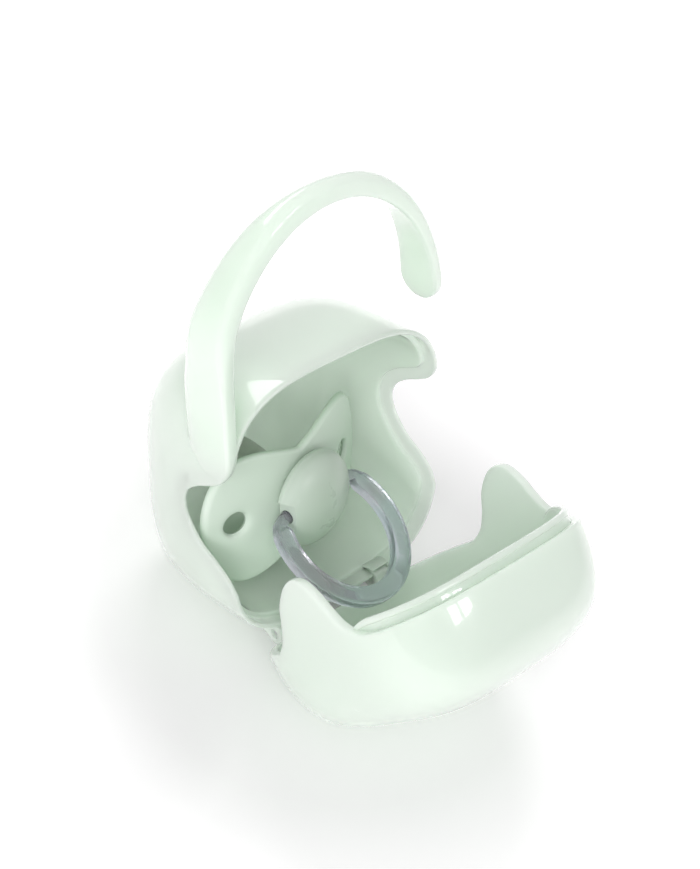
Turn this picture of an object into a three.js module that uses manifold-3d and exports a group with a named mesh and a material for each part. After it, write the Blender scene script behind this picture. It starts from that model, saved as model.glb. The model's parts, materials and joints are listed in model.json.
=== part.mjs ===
import * as THREE from 'three';
import { mergeVertices } from 'three/addons/utils/BufferGeometryUtils.js';
import Module from 'manifold-3d';

// A hinged box for one pacifier, standing open on a table with its pacifier inside.
// Sizes are millimetres. The box is drawn closed and upright, with the hinge axis on X,
// the back towards +Y and the top towards +Z. The front shell is then turned open about
// the hinge, and the whole is tipped back until both shells rest on the table.

// Rounded cube that both shells share
const BOX_HALF_WIDTH = 31;
const BOX_HALF_HEIGHT = 31.2;
const BACK_DEPTH = 32.8;
const FRONT_DEPTH = 30.4;
const CENTRE_BEHIND_HINGE = 4.6;
const BOTTOM_ABOVE_HINGE = 0.9;
const CROSS_SQUARENESS = 3.5;
const DEPTH_SQUARENESS = 3.6;
const WALL = 2;

// Line where the shells part, seen from the side
const RIM_AHEAD_OF_HINGE = 1.4;
const EAR_DEPTH = 14.8;
const EAR_FOOT_HEIGHT = 16.8;
const EAR_SPAN = 34.9;
const SEAM_GAP = 0.3;
const EAR_OUTLINE = [
  [0, 0], [0.13, 0.1], [0.38, 0.186], [0.68, 0.264], [0.92, 0.384], [1, 0.493],
  [0.92, 0.59], [0.7, 0.665], [0.446, 0.716], [0.209, 0.776], [0.041, 0.877], [0, 1],
];

// Rebate inside the back shell's mouth, and the front shell's lip that enters it
const RIM_WALL = 1;
const REBATE_DEPTH = 3.3;
const LIP_CLEARANCE = 0.35;
const LIP_HEIGHT = 2.9;
const LIP_THICKNESS = 1.5;
const LIP_ROOT = 2.4;
const LIP_LOWEST = 38;
const BEAD_HEIGHT = 1.3;
const BEAD_PROUD = 0.45;

// Hook handle, one moulding with the back shell
const HOOK_OFF_CENTRE = -1.1;
const HOOK_PROUD = 0.2;
const HOOK_HALF_SPAN = BOX_HALF_WIDTH + HOOK_PROUD;
const HOOK_SPRING_BELOW_TOP = 0.3;
const HOOK_SPRING_HEIGHT = BOTTOM_ABOVE_HINGE + 2 * BOX_HALF_HEIGHT - HOOK_SPRING_BELOW_TOP;
const HOOK_RISE = 37.7;
const HOOK_FOOT_HEIGHT = 38;
const HOOK_FOOT_LEAN = 2.1;
const HOOK_FOOT_WEB = 1.6;
const HOOK_TIP_ANGLE = 0.9;
const HOOK_TIP_SHARE = 0.05;
const HOOK_TIP_FLATTENING = 0.4;
const HOOK_THICKNESSES = [4.1, 5.3, 2.9];
const HOOK_DEPTHS = [14.6, 10.1, 7, 3.8, 4, 8.9, 11.5];
const HOOK_OUTER_ROUNDING = 1.9;
const HOOK_INNER_ROUNDING = 0.9;
const HOOK_SET_BACK = 0.1;
const HOOK_CORNER_LIMIT = 0.45;

// Hinge lugs and pins
const OPEN_ANGLE = 52.9;
const LUG_RADIUS = 2.5;
const LUG_WIDTH = 4;
const LUG_FROM_SIDE = 12.3;
const LUG_END = BOX_HALF_WIDTH - LUG_FROM_SIDE;
const LUG_GAP = 0.3;
const LUG_WEB = 6.5;
const LUG_ROOT = 1.5;
const LUG_CUT_CLEARANCE = 0.35;
const HEEL_LENGTH = 4.6;
const PIN_RADIUS = 1;
const PIN_CLEARANCE = 0.08;
const PIN_RECESS = 1;

// Flats under the shells where they rest on the table
const FOOT_FLAT = 0.25;

// Pacifier
const SHIELD_SIDE_ROOM = 3.7;
const SHIELD_HALF_LENGTH = BOX_HALF_WIDTH - WALL - SHIELD_SIDE_ROOM;
const SHIELD_WING_HEIGHT = 19.4;
const SHIELD_WAIST_SHARE = 0.6;
const SHIELD_WING_SHARE = 0.8;
const SHIELD_WING_SHARPNESS = 1.3;
const SHIELD_BEND = 6;
const SHIELD_THICKNESS = 2;
const SHIELD_SECTION = [
  [0, -1], [0, 1], [0.2, 1], [0.42, 1], [0.66, 1], [0.87, 1], [0.97, 0.7], [1, 0],
  [0.97, -0.7], [0.87, -1], [0.66, -1], [0.42, -1], [0.2, -1],
];
const AIR_HOLE_FROM_END = 7.4;
const AIR_HOLE_SPACING = 2 * (SHIELD_HALF_LENGTH - AIR_HOLE_FROM_END);
const AIR_HOLE_RADIUS = 2.7;
const KNOB_RADIUS = 11.2;
const KNOB_BASE = 3.3;
const KNOB_RISE = 5.8;
const KNOB_EDGE = 1;
const COLLAR_RADIUS = 8;
const STEM_RADIUS = 3.2;
const STEM_LENGTH = 6;
const FIT_GAP = 0.3;
const RING_HALF_WIDTH = 14.3;
const RING_HALF_LENGTH = 15.9;
const RING_BAND = 4.4;
const RING_THICKNESS = 3.2;
const RING_BAR_RADIUS = 1.3;
const RING_DROP = 9.15;
const RING_PIVOT_HEIGHT = 4.3;
const RING_SWING = 51.6;
const RING_POCKET_RADIUS = 3.9;
const RING_POCKET_FROM = 9.2;
const TEAT_LENGTH = 26;
const TEAT_NECK_RADIUS = 5;
const TEAT_BULB_RADIUS = 7.6;
const TEAT_WALL = 1.2;
const TEAT_FLANGE_RADIUS = 6.6;
const TEAT_FLANGE = 1.2;
const TEAT_OUTLINE = [[0.64, 0.36], [1, 0.7], [0.72, 0.94], [0, 1]];
const TEAT_HOLLOW = [[0.8, 0.88], [1, 0.7]];
const PACIFIER_X = -2.2;
const PACIFIER_BELOW_MIDDLE = 6.8;
const PACIFIER_HEIGHT = BOTTOM_ABOVE_HINGE + BOX_HALF_HEIGHT - PACIFIER_BELOW_MIDDLE;
const PACIFIER_YAW = 8;

// Fineness of the round forms
const AROUND_OUTER = 56;
const ALONG_OUTER = 30;
const AROUND_INNER = 44;
const ALONG_INNER = 24;
const ROUND_STEPS = 20;
const EAR_STEPS = 34;
const HOOK_STEPS = 38;
const HOOK_TIP_STEPS = 6;
const HOOK_FOOT_STEPS = 5;
const HOOK_CORNER_STEPS = 3;
const SHIELD_STEPS = 48;
const KNOB_STEPS = 10;
const KNOB_AROUND = 32;
const RING_STEPS = 44;
const RING_AROUND = 10;
const TEAT_STEPS = 22;
const TEAT_AROUND = 24;
const SEARCH_STEPS = 50;
const WELD = 1e-4;

// FAR is beyond everything, and PAST is how far a cut runs past the face it opens
const FAR = 4 * BOX_HALF_WIDTH;
const PAST = 1;
const centreHeight = BOX_HALF_HEIGHT + BOTTOM_ABOVE_HINGE;
const radians = THREE.MathUtils.degToRad;
const wasm = await Module();
wasm.setup();

// A closed geometry as a solid, and back
function solid(geometry) {
  const bare = new THREE.BufferGeometry();
  bare.setAttribute('position', geometry.attributes.position.clone());
  const count = geometry.attributes.position.count;
  bare.setIndex(geometry.index ? geometry.index.clone() : [...Array(count).keys()]);
  const merged = mergeVertices(bare, WELD);
  const index = merged.index.array;
  const kept = [];
  for (let i = 0; i < index.length; i += 3) {
    const [a, b, c] = [index[i], index[i + 1], index[i + 2]];
    if (a !== b && b !== c && a !== c) kept.push(a, b, c);
  }
  return new wasm.Manifold(new wasm.Mesh({
    numProp: 3,
    vertProperties: new Float32Array(merged.attributes.position.array),
    triVerts: new Uint32Array(kept),
  }));
}

function geometryOf(body) {
  const mesh = body.getMesh();
  const geometry = new THREE.BufferGeometry();
  geometry.setAttribute('position', new THREE.BufferAttribute(new Float32Array(mesh.vertProperties), 3));
  geometry.setIndex(new THREE.BufferAttribute(new Uint32Array(mesh.triVerts), 1));
  geometry.computeVertexNormals();
  return geometry;
}

// Quads between neighbouring rings of points, closed around and, if asked, along
function loft(rings, closedAlong) {
  const around = rings[0].length;
  const points = rings.flat();
  const index = [];
  const last = closedAlong ? rings.length : rings.length - 1;
  for (let i = 0; i < last; i += 1) {
    const next = (i + 1) % rings.length;
    for (let j = 0; j < around; j += 1) {
      const k = (j + 1) % around;
      const [a, b, c, d] = [i * around + j, i * around + k, next * around + k, next * around + j];
      index.push(a, b, c, a, c, d);
    }
  }
  if (!closedAlong) {
    const caps = [[0, true], [rings.length - 1, false]];
    for (const [ring, turned] of caps) {
      const centre = new THREE.Vector3();
      rings[ring].forEach((p) => centre.addScaledVector(p, 1 / around));
      points.push(centre);
      for (let j = 0; j < around; j += 1) {
        const [a, b] = [ring * around + j, ring * around + (j + 1) % around];
        if (turned) index.push(points.length - 1, b, a);
        else index.push(points.length - 1, a, b);
      }
    }
  }
  const geometry = new THREE.BufferGeometry().setFromPoints(points);
  geometry.setIndex(index);
  return geometry;
}

// The rounded cube, drawn in by the same amount on every side
function roundedCube(inset, around, along) {
  const geometry = new THREE.SphereGeometry(1, around, along);
  const place = geometry.attributes.position;
  const point = new THREE.Vector3();
  for (let i = 0; i < place.count; i += 1) {
    point.fromBufferAttribute(place, i);
    const depth = point.y > 0 ? BACK_DEPTH : FRONT_DEPTH;
    const wide = Math.abs(point.x / (BOX_HALF_WIDTH - inset)) ** CROSS_SQUARENESS;
    const high = Math.abs(point.z / (BOX_HALF_HEIGHT - inset)) ** CROSS_SQUARENESS;
    const deep = Math.abs(point.y / (depth - inset)) ** DEPTH_SQUARENESS;
    const sum = (wide + high) ** (DEPTH_SQUARENESS / CROSS_SQUARENESS) + deep;
    point.multiplyScalar(sum ** (-1 / DEPTH_SQUARENESS));
    place.setXYZ(i, point.x, point.y + CENTRE_BEHIND_HINGE, point.z + centreHeight);
  }
  return solid(geometry);
}

// A side-view outline, given as distance ahead of the hinge and height, swept across the box
function sweptAcross(outline, fromX, toX) {
  const shape = new THREE.Shape(outline.map(([ahead, height]) => new THREE.Vector2(-ahead, height)));
  const geometry = new THREE.ExtrudeGeometry(shape, { depth: toX - fromX, bevelEnabled: false });
  const turn = new THREE.Matrix4().makeBasis(
    new THREE.Vector3(0, 1, 0), new THREE.Vector3(0, 0, 1), new THREE.Vector3(1, 0, 0),
  );
  geometry.applyMatrix4(turn.setPosition(fromX, 0, 0));
  return solid(geometry);
}

// A round bar along X at the hinge axis
function barAcross(radius, fromX, toX) {
  const geometry = new THREE.CylinderGeometry(radius, radius, toX - fromX, ROUND_STEPS);
  geometry.rotateZ(Math.PI / 2).translate((fromX + toX) / 2, 0, 0);
  return solid(geometry);
}

// The parting line from the bottom of the chin over the ear to the top of the visor
function partingLine() {
  const ear = new THREE.SplineCurve(EAR_OUTLINE.map(([depth, height]) => new THREE.Vector2(
    RIM_AHEAD_OF_HINGE - EAR_DEPTH * depth, EAR_FOOT_HEIGHT + EAR_SPAN * height,
  )));
  const bottom = new THREE.Vector2(RIM_AHEAD_OF_HINGE, -FAR);
  const top = new THREE.Vector2(RIM_AHEAD_OF_HINGE, FAR);
  return [bottom, ...ear.getSpacedPoints(EAR_STEPS), top];
}

// The parting line moved square to itself, towards the front for a positive distance
function movedLine(distance) {
  const line = partingLine();
  return line.map((point, i) => {
    const before = line[Math.max(i - 1, 0)];
    const after = line[Math.min(i + 1, line.length - 1)];
    const along = after.clone().sub(before).normalize();
    return [point.x + along.y * distance, point.y - along.x * distance];
  });
}

function behindLine(distance) {
  return sweptAcross([...movedLine(distance), [-FAR, FAR], [-FAR, -FAR]], -FAR, FAR);
}

function aheadOfLine(distance) {
  return sweptAcross([...movedLine(distance), [FAR, FAR], [FAR, -FAR]].reverse(), -FAR, FAR);
}

// Hook handle: a strap that leaves the left wall, arches over and ends in a rounded spoon
function alongHook(values) {
  return new THREE.SplineCurve(values.map((value, i) => new THREE.Vector2(i, value)));
}

function hookStations() {
  const stations = [];
  for (let i = 0; i < HOOK_FOOT_STEPS; i += 1) {
    const down = 1 - i / HOOK_FOOT_STEPS;
    stations.push({
      x: HOOK_OFF_CENTRE - HOOK_HALF_SPAN + HOOK_FOOT_LEAN * down * down,
      z: HOOK_SPRING_HEIGHT - (HOOK_SPRING_HEIGHT - HOOK_FOOT_HEIGHT) * down,
      share: 0,
      narrowing: 1,
      web: HOOK_FOOT_WEB * down,
    });
  }
  for (let i = 0; i < HOOK_STEPS + HOOK_TIP_STEPS; i += 1) {
    const end = (Math.PI / 2) * Math.max((i - HOOK_STEPS) / HOOK_TIP_STEPS, 0);
    const share = (1 - HOOK_TIP_SHARE) * Math.min(i / HOOK_STEPS, 1) + HOOK_TIP_SHARE * Math.sin(end);
    const angle = radians(180 + (HOOK_TIP_ANGLE - 180) * share);
    stations.push({
      x: HOOK_OFF_CENTRE + HOOK_HALF_SPAN * Math.cos(angle),
      z: HOOK_SPRING_HEIGHT + HOOK_RISE * Math.sin(angle),
      share,
      narrowing: Math.cos(end),
      web: 0,
    });
  }
  return stations;
}

// The strap's section as [outward, behind] pairs: a rectangle with each corner rounded off
function hookSection(thickness, depth) {
  const corners = [
    [1, 0, HOOK_OUTER_ROUNDING], [-1, 0, HOOK_INNER_ROUNDING],
    [-1, 1, HOOK_INNER_ROUNDING], [1, 1, HOOK_OUTER_ROUNDING],
  ];
  const section = [];
  corners.forEach(([side, end, rounding], quarter) => {
    const radius = Math.min(rounding, HOOK_CORNER_LIMIT * thickness, HOOK_CORNER_LIMIT * depth);
    const out = side * (thickness / 2 - radius);
    const behind = end === 0 ? radius : depth - radius;
    for (let i = 0; i <= HOOK_CORNER_STEPS; i += 1) {
      const turn = (Math.PI / 2) * (quarter + i / HOOK_CORNER_STEPS);
      section.push([out + radius * Math.cos(turn), behind - radius * Math.sin(turn)]);
    }
  });
  return section;
}

function hookStrap() {
  const stations = hookStations();
  const thicknesses = alongHook(HOOK_THICKNESSES);
  const depths = alongHook(HOOK_DEPTHS);
  const front = HOOK_SET_BACK + SEAM_GAP / 2 - RIM_AHEAD_OF_HINGE;
  const rings = stations.map(({ x, z, share, narrowing, web }, i) => {
    const before = stations[Math.max(i - 1, 0)];
    const after = stations[Math.min(i + 1, stations.length - 1)];
    const along = new THREE.Vector2(after.x - before.x, after.z - before.z).normalize();
    const thickness = thicknesses.getPoint(share).y * (1 - HOOK_TIP_FLATTENING * (1 - narrowing));
    const depth = depths.getPoint(share).y;
    return hookSection(thickness, depth).map(([outward, behind]) => {
      const out = outward < 0 ? outward - web : outward;
      const y = front + depth / 2 + (behind - depth / 2) * narrowing;
      return new THREE.Vector3(x - along.y * out, y, z + along.x * out);
    });
  });
  return solid(loft(rings, false));
}

// A hinge lug seen from the side: a round eye with a web running into the shell's bottom
function lug(sign, fromX) {
  const eye = barAcross(LUG_RADIUS, fromX, fromX + LUG_WIDTH);
  const top = BOTTOM_ABOVE_HINGE + LUG_ROOT;
  const outline = [
    [0, -LUG_RADIUS], [sign * LUG_WEB, BOTTOM_ABOVE_HINGE], [sign * LUG_WEB, top], [0, top],
  ];
  return eye.add(sweptAcross(sign > 0 ? outline : outline.reverse(), fromX, fromX + LUG_WIDTH));
}

// The front shell's heel: it meets the back shell's bottom when the box is fully open
function heel(fromX) {
  const top = BOTTOM_ABOVE_HINGE - SEAM_GAP;
  const open = [[0, top], [-HEEL_LENGTH, top], [-HEEL_LENGTH, top - LUG_RADIUS / 2], [0, -LUG_RADIUS]];
  const angle = radians(OPEN_ANGLE);
  const closed = open.map(([ahead, height]) => [
    ahead * Math.cos(angle) - height * Math.sin(angle),
    ahead * Math.sin(angle) + height * Math.cos(angle),
  ]);
  return sweptAcross(closed, fromX, fromX + LUG_WIDTH);
}

const frontLugEnd = LUG_END - LUG_WIDTH - LUG_GAP;
const backLugs = [-LUG_END, LUG_END - LUG_WIDTH];
const frontLugs = [-frontLugEnd, frontLugEnd - LUG_WIDTH];
const boreRadius = PIN_RADIUS + PIN_CLEARANCE;

function drilled(body) {
  const reach = LUG_END + PAST;
  const clear = LUG_END - 2 * LUG_WIDTH - LUG_GAP - PAST;
  return body.subtract(barAcross(boreRadius, -reach, -clear)).subtract(barAcross(boreRadius, clear, reach));
}

function clearedOf(body, lugs) {
  let result = body;
  for (const fromX of lugs) {
    const from = fromX - LUG_GAP;
    result = result.subtract(barAcross(LUG_RADIUS + LUG_CUT_CLEARANCE, from, from + LUG_WIDTH + 2 * LUG_GAP));
  }
  return result;
}

// Turning that brings both shells down on the table together
function reachBelow(depth, tilt, side) {
  const power = DEPTH_SQUARENESS / (DEPTH_SQUARENESS - 1);
  const down = BOX_HALF_HEIGHT * Math.cos(tilt);
  const out = depth * Math.sin(tilt);
  const round = (down ** power + out ** power) ** (1 / power);
  return round - centreHeight * Math.cos(tilt) + side * CENTRE_BEHIND_HINGE * Math.sin(tilt);
}

function tipBack() {
  let low = 0;
  let high = radians(OPEN_ANGLE);
  for (let i = 0; i < SEARCH_STEPS; i += 1) {
    const middle = (low + high) / 2;
    const atBack = reachBelow(BACK_DEPTH, middle, 1);
    const atFront = reachBelow(FRONT_DEPTH, radians(OPEN_ANGLE) - middle, -1);
    if (atBack < atFront) low = middle;
    else high = middle;
  }
  return (low + high) / 2;
}

const tip = tipBack();
const hingeHeight = reachBelow(BACK_DEPTH, tip, 1) - FOOT_FLAT;

// Everything of a shell below the table is cut away, which leaves its resting flat
function aboveTable(body, tilt) {
  const block = new THREE.BoxGeometry(2 * FAR, 2 * FAR, FAR).translate(0, 0, -hingeHeight - FAR / 2);
  block.rotateX(-tilt);
  return body.subtract(solid(block));
}

function backShell() {
  const outer = roundedCube(0, AROUND_OUTER, ALONG_OUTER);
  const inner = roundedCube(WALL, AROUND_INNER, ALONG_INNER);
  const rebate = roundedCube(RIM_WALL, AROUND_OUTER, ALONG_OUTER).intersect(aheadOfLine(-REBATE_DEPTH));
  let shell = outer.add(hookStrap()).subtract(inner).subtract(rebate);
  shell = shell.intersect(behindLine(-SEAM_GAP / 2));
  shell = clearedOf(shell, frontLugs);
  for (const fromX of backLugs) shell = shell.add(lug(-1, fromX));
  return aboveTable(drilled(shell), -tip);
}

// The lip runs round the top of the front shell's mouth and dies away inside its ears
function lip() {
  const beadOut = RIM_WALL + LIP_CLEARANCE;
  const neckOut = beadOut + BEAD_PROUD;
  const inside = roundedCube(beadOut + LIP_THICKNESS, AROUND_OUTER, ALONG_OUTER);
  const edge = RIM_AHEAD_OF_HINGE - LIP_HEIGHT;
  const band = (from, to) => sweptAcross(
    [[to, LIP_LOWEST], [to, FAR], [from, FAR], [from, LIP_LOWEST + LIP_HEIGHT]], -FAR, FAR,
  );
  const bead = roundedCube(beadOut, AROUND_OUTER, ALONG_OUTER).intersect(band(edge, edge + BEAD_HEIGHT));
  const neck = roundedCube(neckOut, AROUND_OUTER, ALONG_OUTER)
    .intersect(band(edge, edge + LIP_HEIGHT + LIP_ROOT));
  return bead.add(neck).subtract(inside);
}

function frontShell() {
  const outer = roundedCube(0, AROUND_OUTER, ALONG_OUTER);
  const inner = roundedCube(WALL, AROUND_INNER, ALONG_INNER);
  let shell = outer.subtract(inner).intersect(aheadOfLine(SEAM_GAP / 2)).add(lip());
  shell = clearedOf(shell, backLugs);
  for (const fromX of frontLugs) shell = shell.add(lug(1, fromX)).add(heel(fromX));
  return aboveTable(drilled(shell), radians(OPEN_ANGLE) - tip);
}

function hingePin(side) {
  const inner = frontLugEnd - LUG_WIDTH + PIN_RECESS;
  const outer = LUG_END - PIN_RECESS;
  return side < 0 ? barAcross(PIN_RADIUS, -outer, -inner) : barAcross(PIN_RADIUS, inner, outer);
}

// Pacifier pieces, drawn with the wings along X, the height along Y and the knob towards +Z
function shieldBend(x) {
  return -SHIELD_BEND * (x / SHIELD_HALF_LENGTH) ** 2;
}

function shieldEdge(turn) {
  const swell = SHIELD_WAIST_SHARE + SHIELD_WING_SHARE * Math.abs(Math.cos(turn)) ** SHIELD_WING_SHARPNESS;
  return new THREE.Vector2(
    SHIELD_HALF_LENGTH * Math.cos(turn), SHIELD_WING_HEIGHT * Math.sin(turn) * swell,
  );
}

function shield() {
  const hole = STEM_RADIUS + FIT_GAP;
  const half = SHIELD_THICKNESS / 2;
  const rings = [];
  for (let i = 0; i < SHIELD_STEPS; i += 1) {
    const turn = (2 * Math.PI * i) / SHIELD_STEPS;
    const edge = shieldEdge(turn);
    const start = edge.clone().setLength(hole);
    rings.push(SHIELD_SECTION.map(([out, up]) => {
      const at = start.clone().lerp(edge, out);
      return new THREE.Vector3(at.x, at.y, shieldBend(at.x) + up * half);
    }));
  }
  let body = solid(loft(rings, true));
  for (const side of [-1, 1]) {
    const cut = new THREE.CylinderGeometry(AIR_HOLE_RADIUS, AIR_HOLE_RADIUS, FAR / 4, ROUND_STEPS);
    cut.rotateX(Math.PI / 2).translate((side * AIR_HOLE_SPACING) / 2, 0, 0);
    body = body.subtract(solid(cut));
  }
  return body;
}

function turned(profile, steps) {
  const geometry = new THREE.LatheGeometry(profile.map(([r, z]) => new THREE.Vector2(r, z)), steps);
  return solid(geometry.rotateX(Math.PI / 2));
}

function knob() {
  const front = SHIELD_THICKNESS / 2 + FIT_GAP;
  const profile = [[0, -STEM_LENGTH], [STEM_RADIUS, -STEM_LENGTH], [STEM_RADIUS, front],
    [COLLAR_RADIUS, front], [COLLAR_RADIUS, KNOB_BASE - KNOB_EDGE],
    [KNOB_RADIUS - KNOB_EDGE, KNOB_BASE - KNOB_EDGE]];
  for (let i = 0; i <= KNOB_STEPS; i += 1) {
    const turn = (Math.PI / 2) * (i / KNOB_STEPS);
    const r = i === KNOB_STEPS ? 0 : KNOB_RADIUS * Math.cos(turn);
    profile.push([r, KNOB_BASE + KNOB_RISE * Math.sin(turn)]);
  }
  let body = turned(profile, KNOB_AROUND);
  const pivot = [0, 0, RING_PIVOT_HEIGHT];
  const onPivot = (radius, from, to) => barAcross(radius, from, to).translate(pivot);
  const far = 2 * KNOB_RADIUS;
  body = body.subtract(onPivot(RING_BAR_RADIUS + FIT_GAP, -far, far));
  body = body.subtract(onPivot(RING_POCKET_RADIUS, RING_POCKET_FROM, far));
  return body.subtract(onPivot(RING_POCKET_RADIUS, -far, -RING_POCKET_FROM));
}

// The ring hangs from its bar, which is the pivot at its own origin
function ring() {
  const rings = [];
  for (let i = 0; i < RING_STEPS; i += 1) {
    const turn = (2 * Math.PI * i) / RING_STEPS;
    const [across, along] = [Math.cos(turn), Math.sin(turn)];
    const at = new THREE.Vector3(RING_HALF_WIDTH * across, RING_HALF_LENGTH * along - RING_DROP, 0);
    const out = new THREE.Vector3(RING_HALF_LENGTH * across, RING_HALF_WIDTH * along, 0).normalize();
    const section = [];
    for (let j = 0; j < RING_AROUND; j += 1) {
      const round = (2 * Math.PI * j) / RING_AROUND;
      const point = at.clone().addScaledVector(out, (Math.cos(round) * RING_BAND) / 2);
      point.z -= (Math.sin(round) * RING_THICKNESS) / 2;
      section.push(point);
    }
    rings.push(section);
  }
  const hoop = solid(loft(rings, true));
  const cap = new THREE.BoxGeometry(FAR, FAR, FAR).translate(0, FAR / 2 + RING_BAR_RADIUS, 0);
  const gap = RING_POCKET_FROM + FIT_GAP;
  const bridge = new THREE.BoxGeometry(2 * gap, 2 * RING_BAND, FAR);
  const bar = barAcross(RING_BAR_RADIUS, -gap - PAST, gap + PAST);
  return hoop.subtract(solid(cap)).subtract(solid(bridge)).add(bar);
}

function teat() {
  const back = shieldBend(TEAT_FLANGE_RADIUS) - SHIELD_THICKNESS / 2 - FIT_GAP;
  const curve = new THREE.SplineCurve([
    [TEAT_FLANGE_RADIUS, back],
    [TEAT_FLANGE_RADIUS, back - TEAT_FLANGE],
    [TEAT_NECK_RADIUS, back - 2 * TEAT_FLANGE],
    ...TEAT_OUTLINE.map(([radius, length]) => [TEAT_BULB_RADIUS * radius, -TEAT_LENGTH * length]),
  ].map(([radius, z]) => new THREE.Vector2(radius, z)));
  const outer = curve.getPoints(TEAT_STEPS).map(({ x, y }) => [Math.max(x, 0), y]);
  outer[outer.length - 1][0] = 0;
  const bulb = TEAT_BULB_RADIUS - TEAT_WALL;
  const bore = STEM_RADIUS + FIT_GAP;
  const inner = [
    [0, TEAT_WALL - TEAT_LENGTH],
    ...TEAT_HOLLOW.map(([radius, length]) => [bulb * radius, -TEAT_LENGTH * length]),
    [bore, -TEAT_LENGTH * TEAT_OUTLINE[0][1]],
    [bore, back],
  ];
  return turned([...inner, ...outer].reverse(), TEAT_AROUND);
}

const finishes = {
  mint: { color: 0xe2f0e2, roughness: 0.22 },
  soft: { color: 0xc9d8ca, roughness: 0.5 },
  clear: { color: 0xa9b4b6, roughness: 0.12 },
  silicone: { color: 0xe6e2d6, roughness: 0.4 },
  steel: { color: 0xb9bdbf, roughness: 0.3, metalness: 1 },
};

function part(name, body, finish) {
  const material = new THREE.MeshStandardMaterial({ metalness: 0, ...finishes[finish] });
  const mesh = new THREE.Mesh(geometryOf(body), material);
  mesh.name = name;
  return mesh;
}

const pivotedRing = new THREE.Group();
pivotedRing.position.set(0, 0, RING_PIVOT_HEIGHT);
pivotedRing.rotation.x = -radians(RING_SWING);
pivotedRing.add(part('pacifier_ring', ring(), 'clear'));

const pacifier = new THREE.Group();
pacifier.rotation.x = Math.PI / 2;
pacifier.add(
  part('pacifier_shield', shield(), 'soft'),
  part('pacifier_knob', knob(), 'soft'),
  part('pacifier_teat', teat(), 'silicone'),
  pivotedRing,
);
// The teat's end lies against the inside of the back wall
const backWall = CENTRE_BEHIND_HINGE + BACK_DEPTH - WALL;
const laidIn = new THREE.Group();
laidIn.position.set(
  PACIFIER_X, backWall - FIT_GAP - TEAT_LENGTH * Math.cos(radians(PACIFIER_YAW)), PACIFIER_HEIGHT,
);
laidIn.rotation.z = radians(PACIFIER_YAW);
laidIn.add(pacifier);

const opened = new THREE.Group();
opened.rotation.x = radians(OPEN_ANGLE);
opened.add(part('front_shell', frontShell(), 'mint'));

const tipped = new THREE.Group();
tipped.rotation.x = -tip;
tipped.position.z = hingeHeight;
tipped.add(
  part('back_shell', backShell(), 'mint'),
  part('hinge_pin_left', hingePin(-1), 'steel'),
  part('hinge_pin_right', hingePin(1), 'steel'),
  opened,
  laidIn,
);

// The origin is under the middle of the whole, on the table
const group = new THREE.Group();
group.add(tipped);
group.updateMatrixWorld(true);
const box = new THREE.Box3().setFromObject(group, true);
tipped.position.x -= (box.min.x + box.max.x) / 2;
tipped.position.y -= (box.min.y + box.max.y) / 2;
group.updateMatrixWorld(true);

export default group;
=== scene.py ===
"""Looks of a hinged pacifier box that stands open with its pacifier inside."""

import json
import math

import bmesh
import bpy
import numpy as np
from bpy.props import FloatProperty, FloatVectorProperty, IntProperty, PointerProperty
from mathutils import Matrix, Quaternion, Vector
from mathutils.geometry import delaunay_2d_cdt


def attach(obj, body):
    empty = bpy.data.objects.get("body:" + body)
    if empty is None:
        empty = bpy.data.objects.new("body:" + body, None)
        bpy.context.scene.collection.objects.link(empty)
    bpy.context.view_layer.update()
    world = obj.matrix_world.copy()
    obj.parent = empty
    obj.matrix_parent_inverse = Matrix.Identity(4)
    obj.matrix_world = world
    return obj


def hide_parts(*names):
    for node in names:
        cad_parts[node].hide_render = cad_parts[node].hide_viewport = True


bl_info = {
    "name": "Pacifier Box",
    "version": (1, 0, 0),
    "blender": (4, 5, 0),
    "location": "View3D > Sidebar > Pacifier Box",
    "description": "Dresses the packed pacifier box in fine shells, a pacifier and their finishes",
    "category": "Object",
}

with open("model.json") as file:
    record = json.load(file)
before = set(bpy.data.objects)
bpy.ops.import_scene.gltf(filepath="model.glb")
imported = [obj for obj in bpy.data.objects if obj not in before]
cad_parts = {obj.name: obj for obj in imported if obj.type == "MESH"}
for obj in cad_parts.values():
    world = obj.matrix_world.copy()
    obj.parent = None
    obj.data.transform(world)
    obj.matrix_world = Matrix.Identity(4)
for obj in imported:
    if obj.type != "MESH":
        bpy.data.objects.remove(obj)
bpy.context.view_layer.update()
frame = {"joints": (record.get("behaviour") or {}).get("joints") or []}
HINGE = Vector(next(joint["pos_m"] for joint in frame["joints"] if joint["name"] == "shell_hinge"))
MM = 0.001
# Gap that neighbouring solids keep
GAP = 0.3 * MM
# Room around a hinge pin in its lug
PIN_PLAY = 0.08 * MM
# Radius of the shield's hole for the knob's stem
STEM_HOLE = 3.5 * MM
# Stands for a distance that is too large to matter, in metres
FAR = 1

# The parting line's ear as shares of its depth and height, from its foot to its top
EAR_OUTLINE = [
    (0, 0), (0.13, 0.1), (0.38, 0.186), (0.68, 0.264), (0.92, 0.384), (1, 0.493),
    (0.92, 0.59), (0.7, 0.665), (0.446, 0.716), (0.209, 0.776), (0.041, 0.877), (0, 1),
]
# The hook's depths and thicknesses at even steps from its foot to its tip, in mm
HOOK_DEPTHS = [14.6, 10.1, 7, 3.8, 4, 8.9, 11.5]
HOOK_THICKNESSES = [4.1, 5.3, 2.9]
# How far the strap leans inwards at some heights near its foot, in mm
HOOK_LEAN = [
    (38, 3.5), (45, 3.3), (50, 3.05), (56, 2.85), (63, 2.7), (69, 2.2), (75, 1.05), (80, 0.25), (85, 0),
]
# Share of the arch up to which the strap counts as its foot on the left wall
HOOK_FOOT_SHARE = 0.2
# How far the strap's front lies behind the parting line
HOOK_SET_BACK = 0.17 * MM
# How far the strap's foot stops inside the wall's outer face
HOOK_SINK = 1.2 * MM
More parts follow.
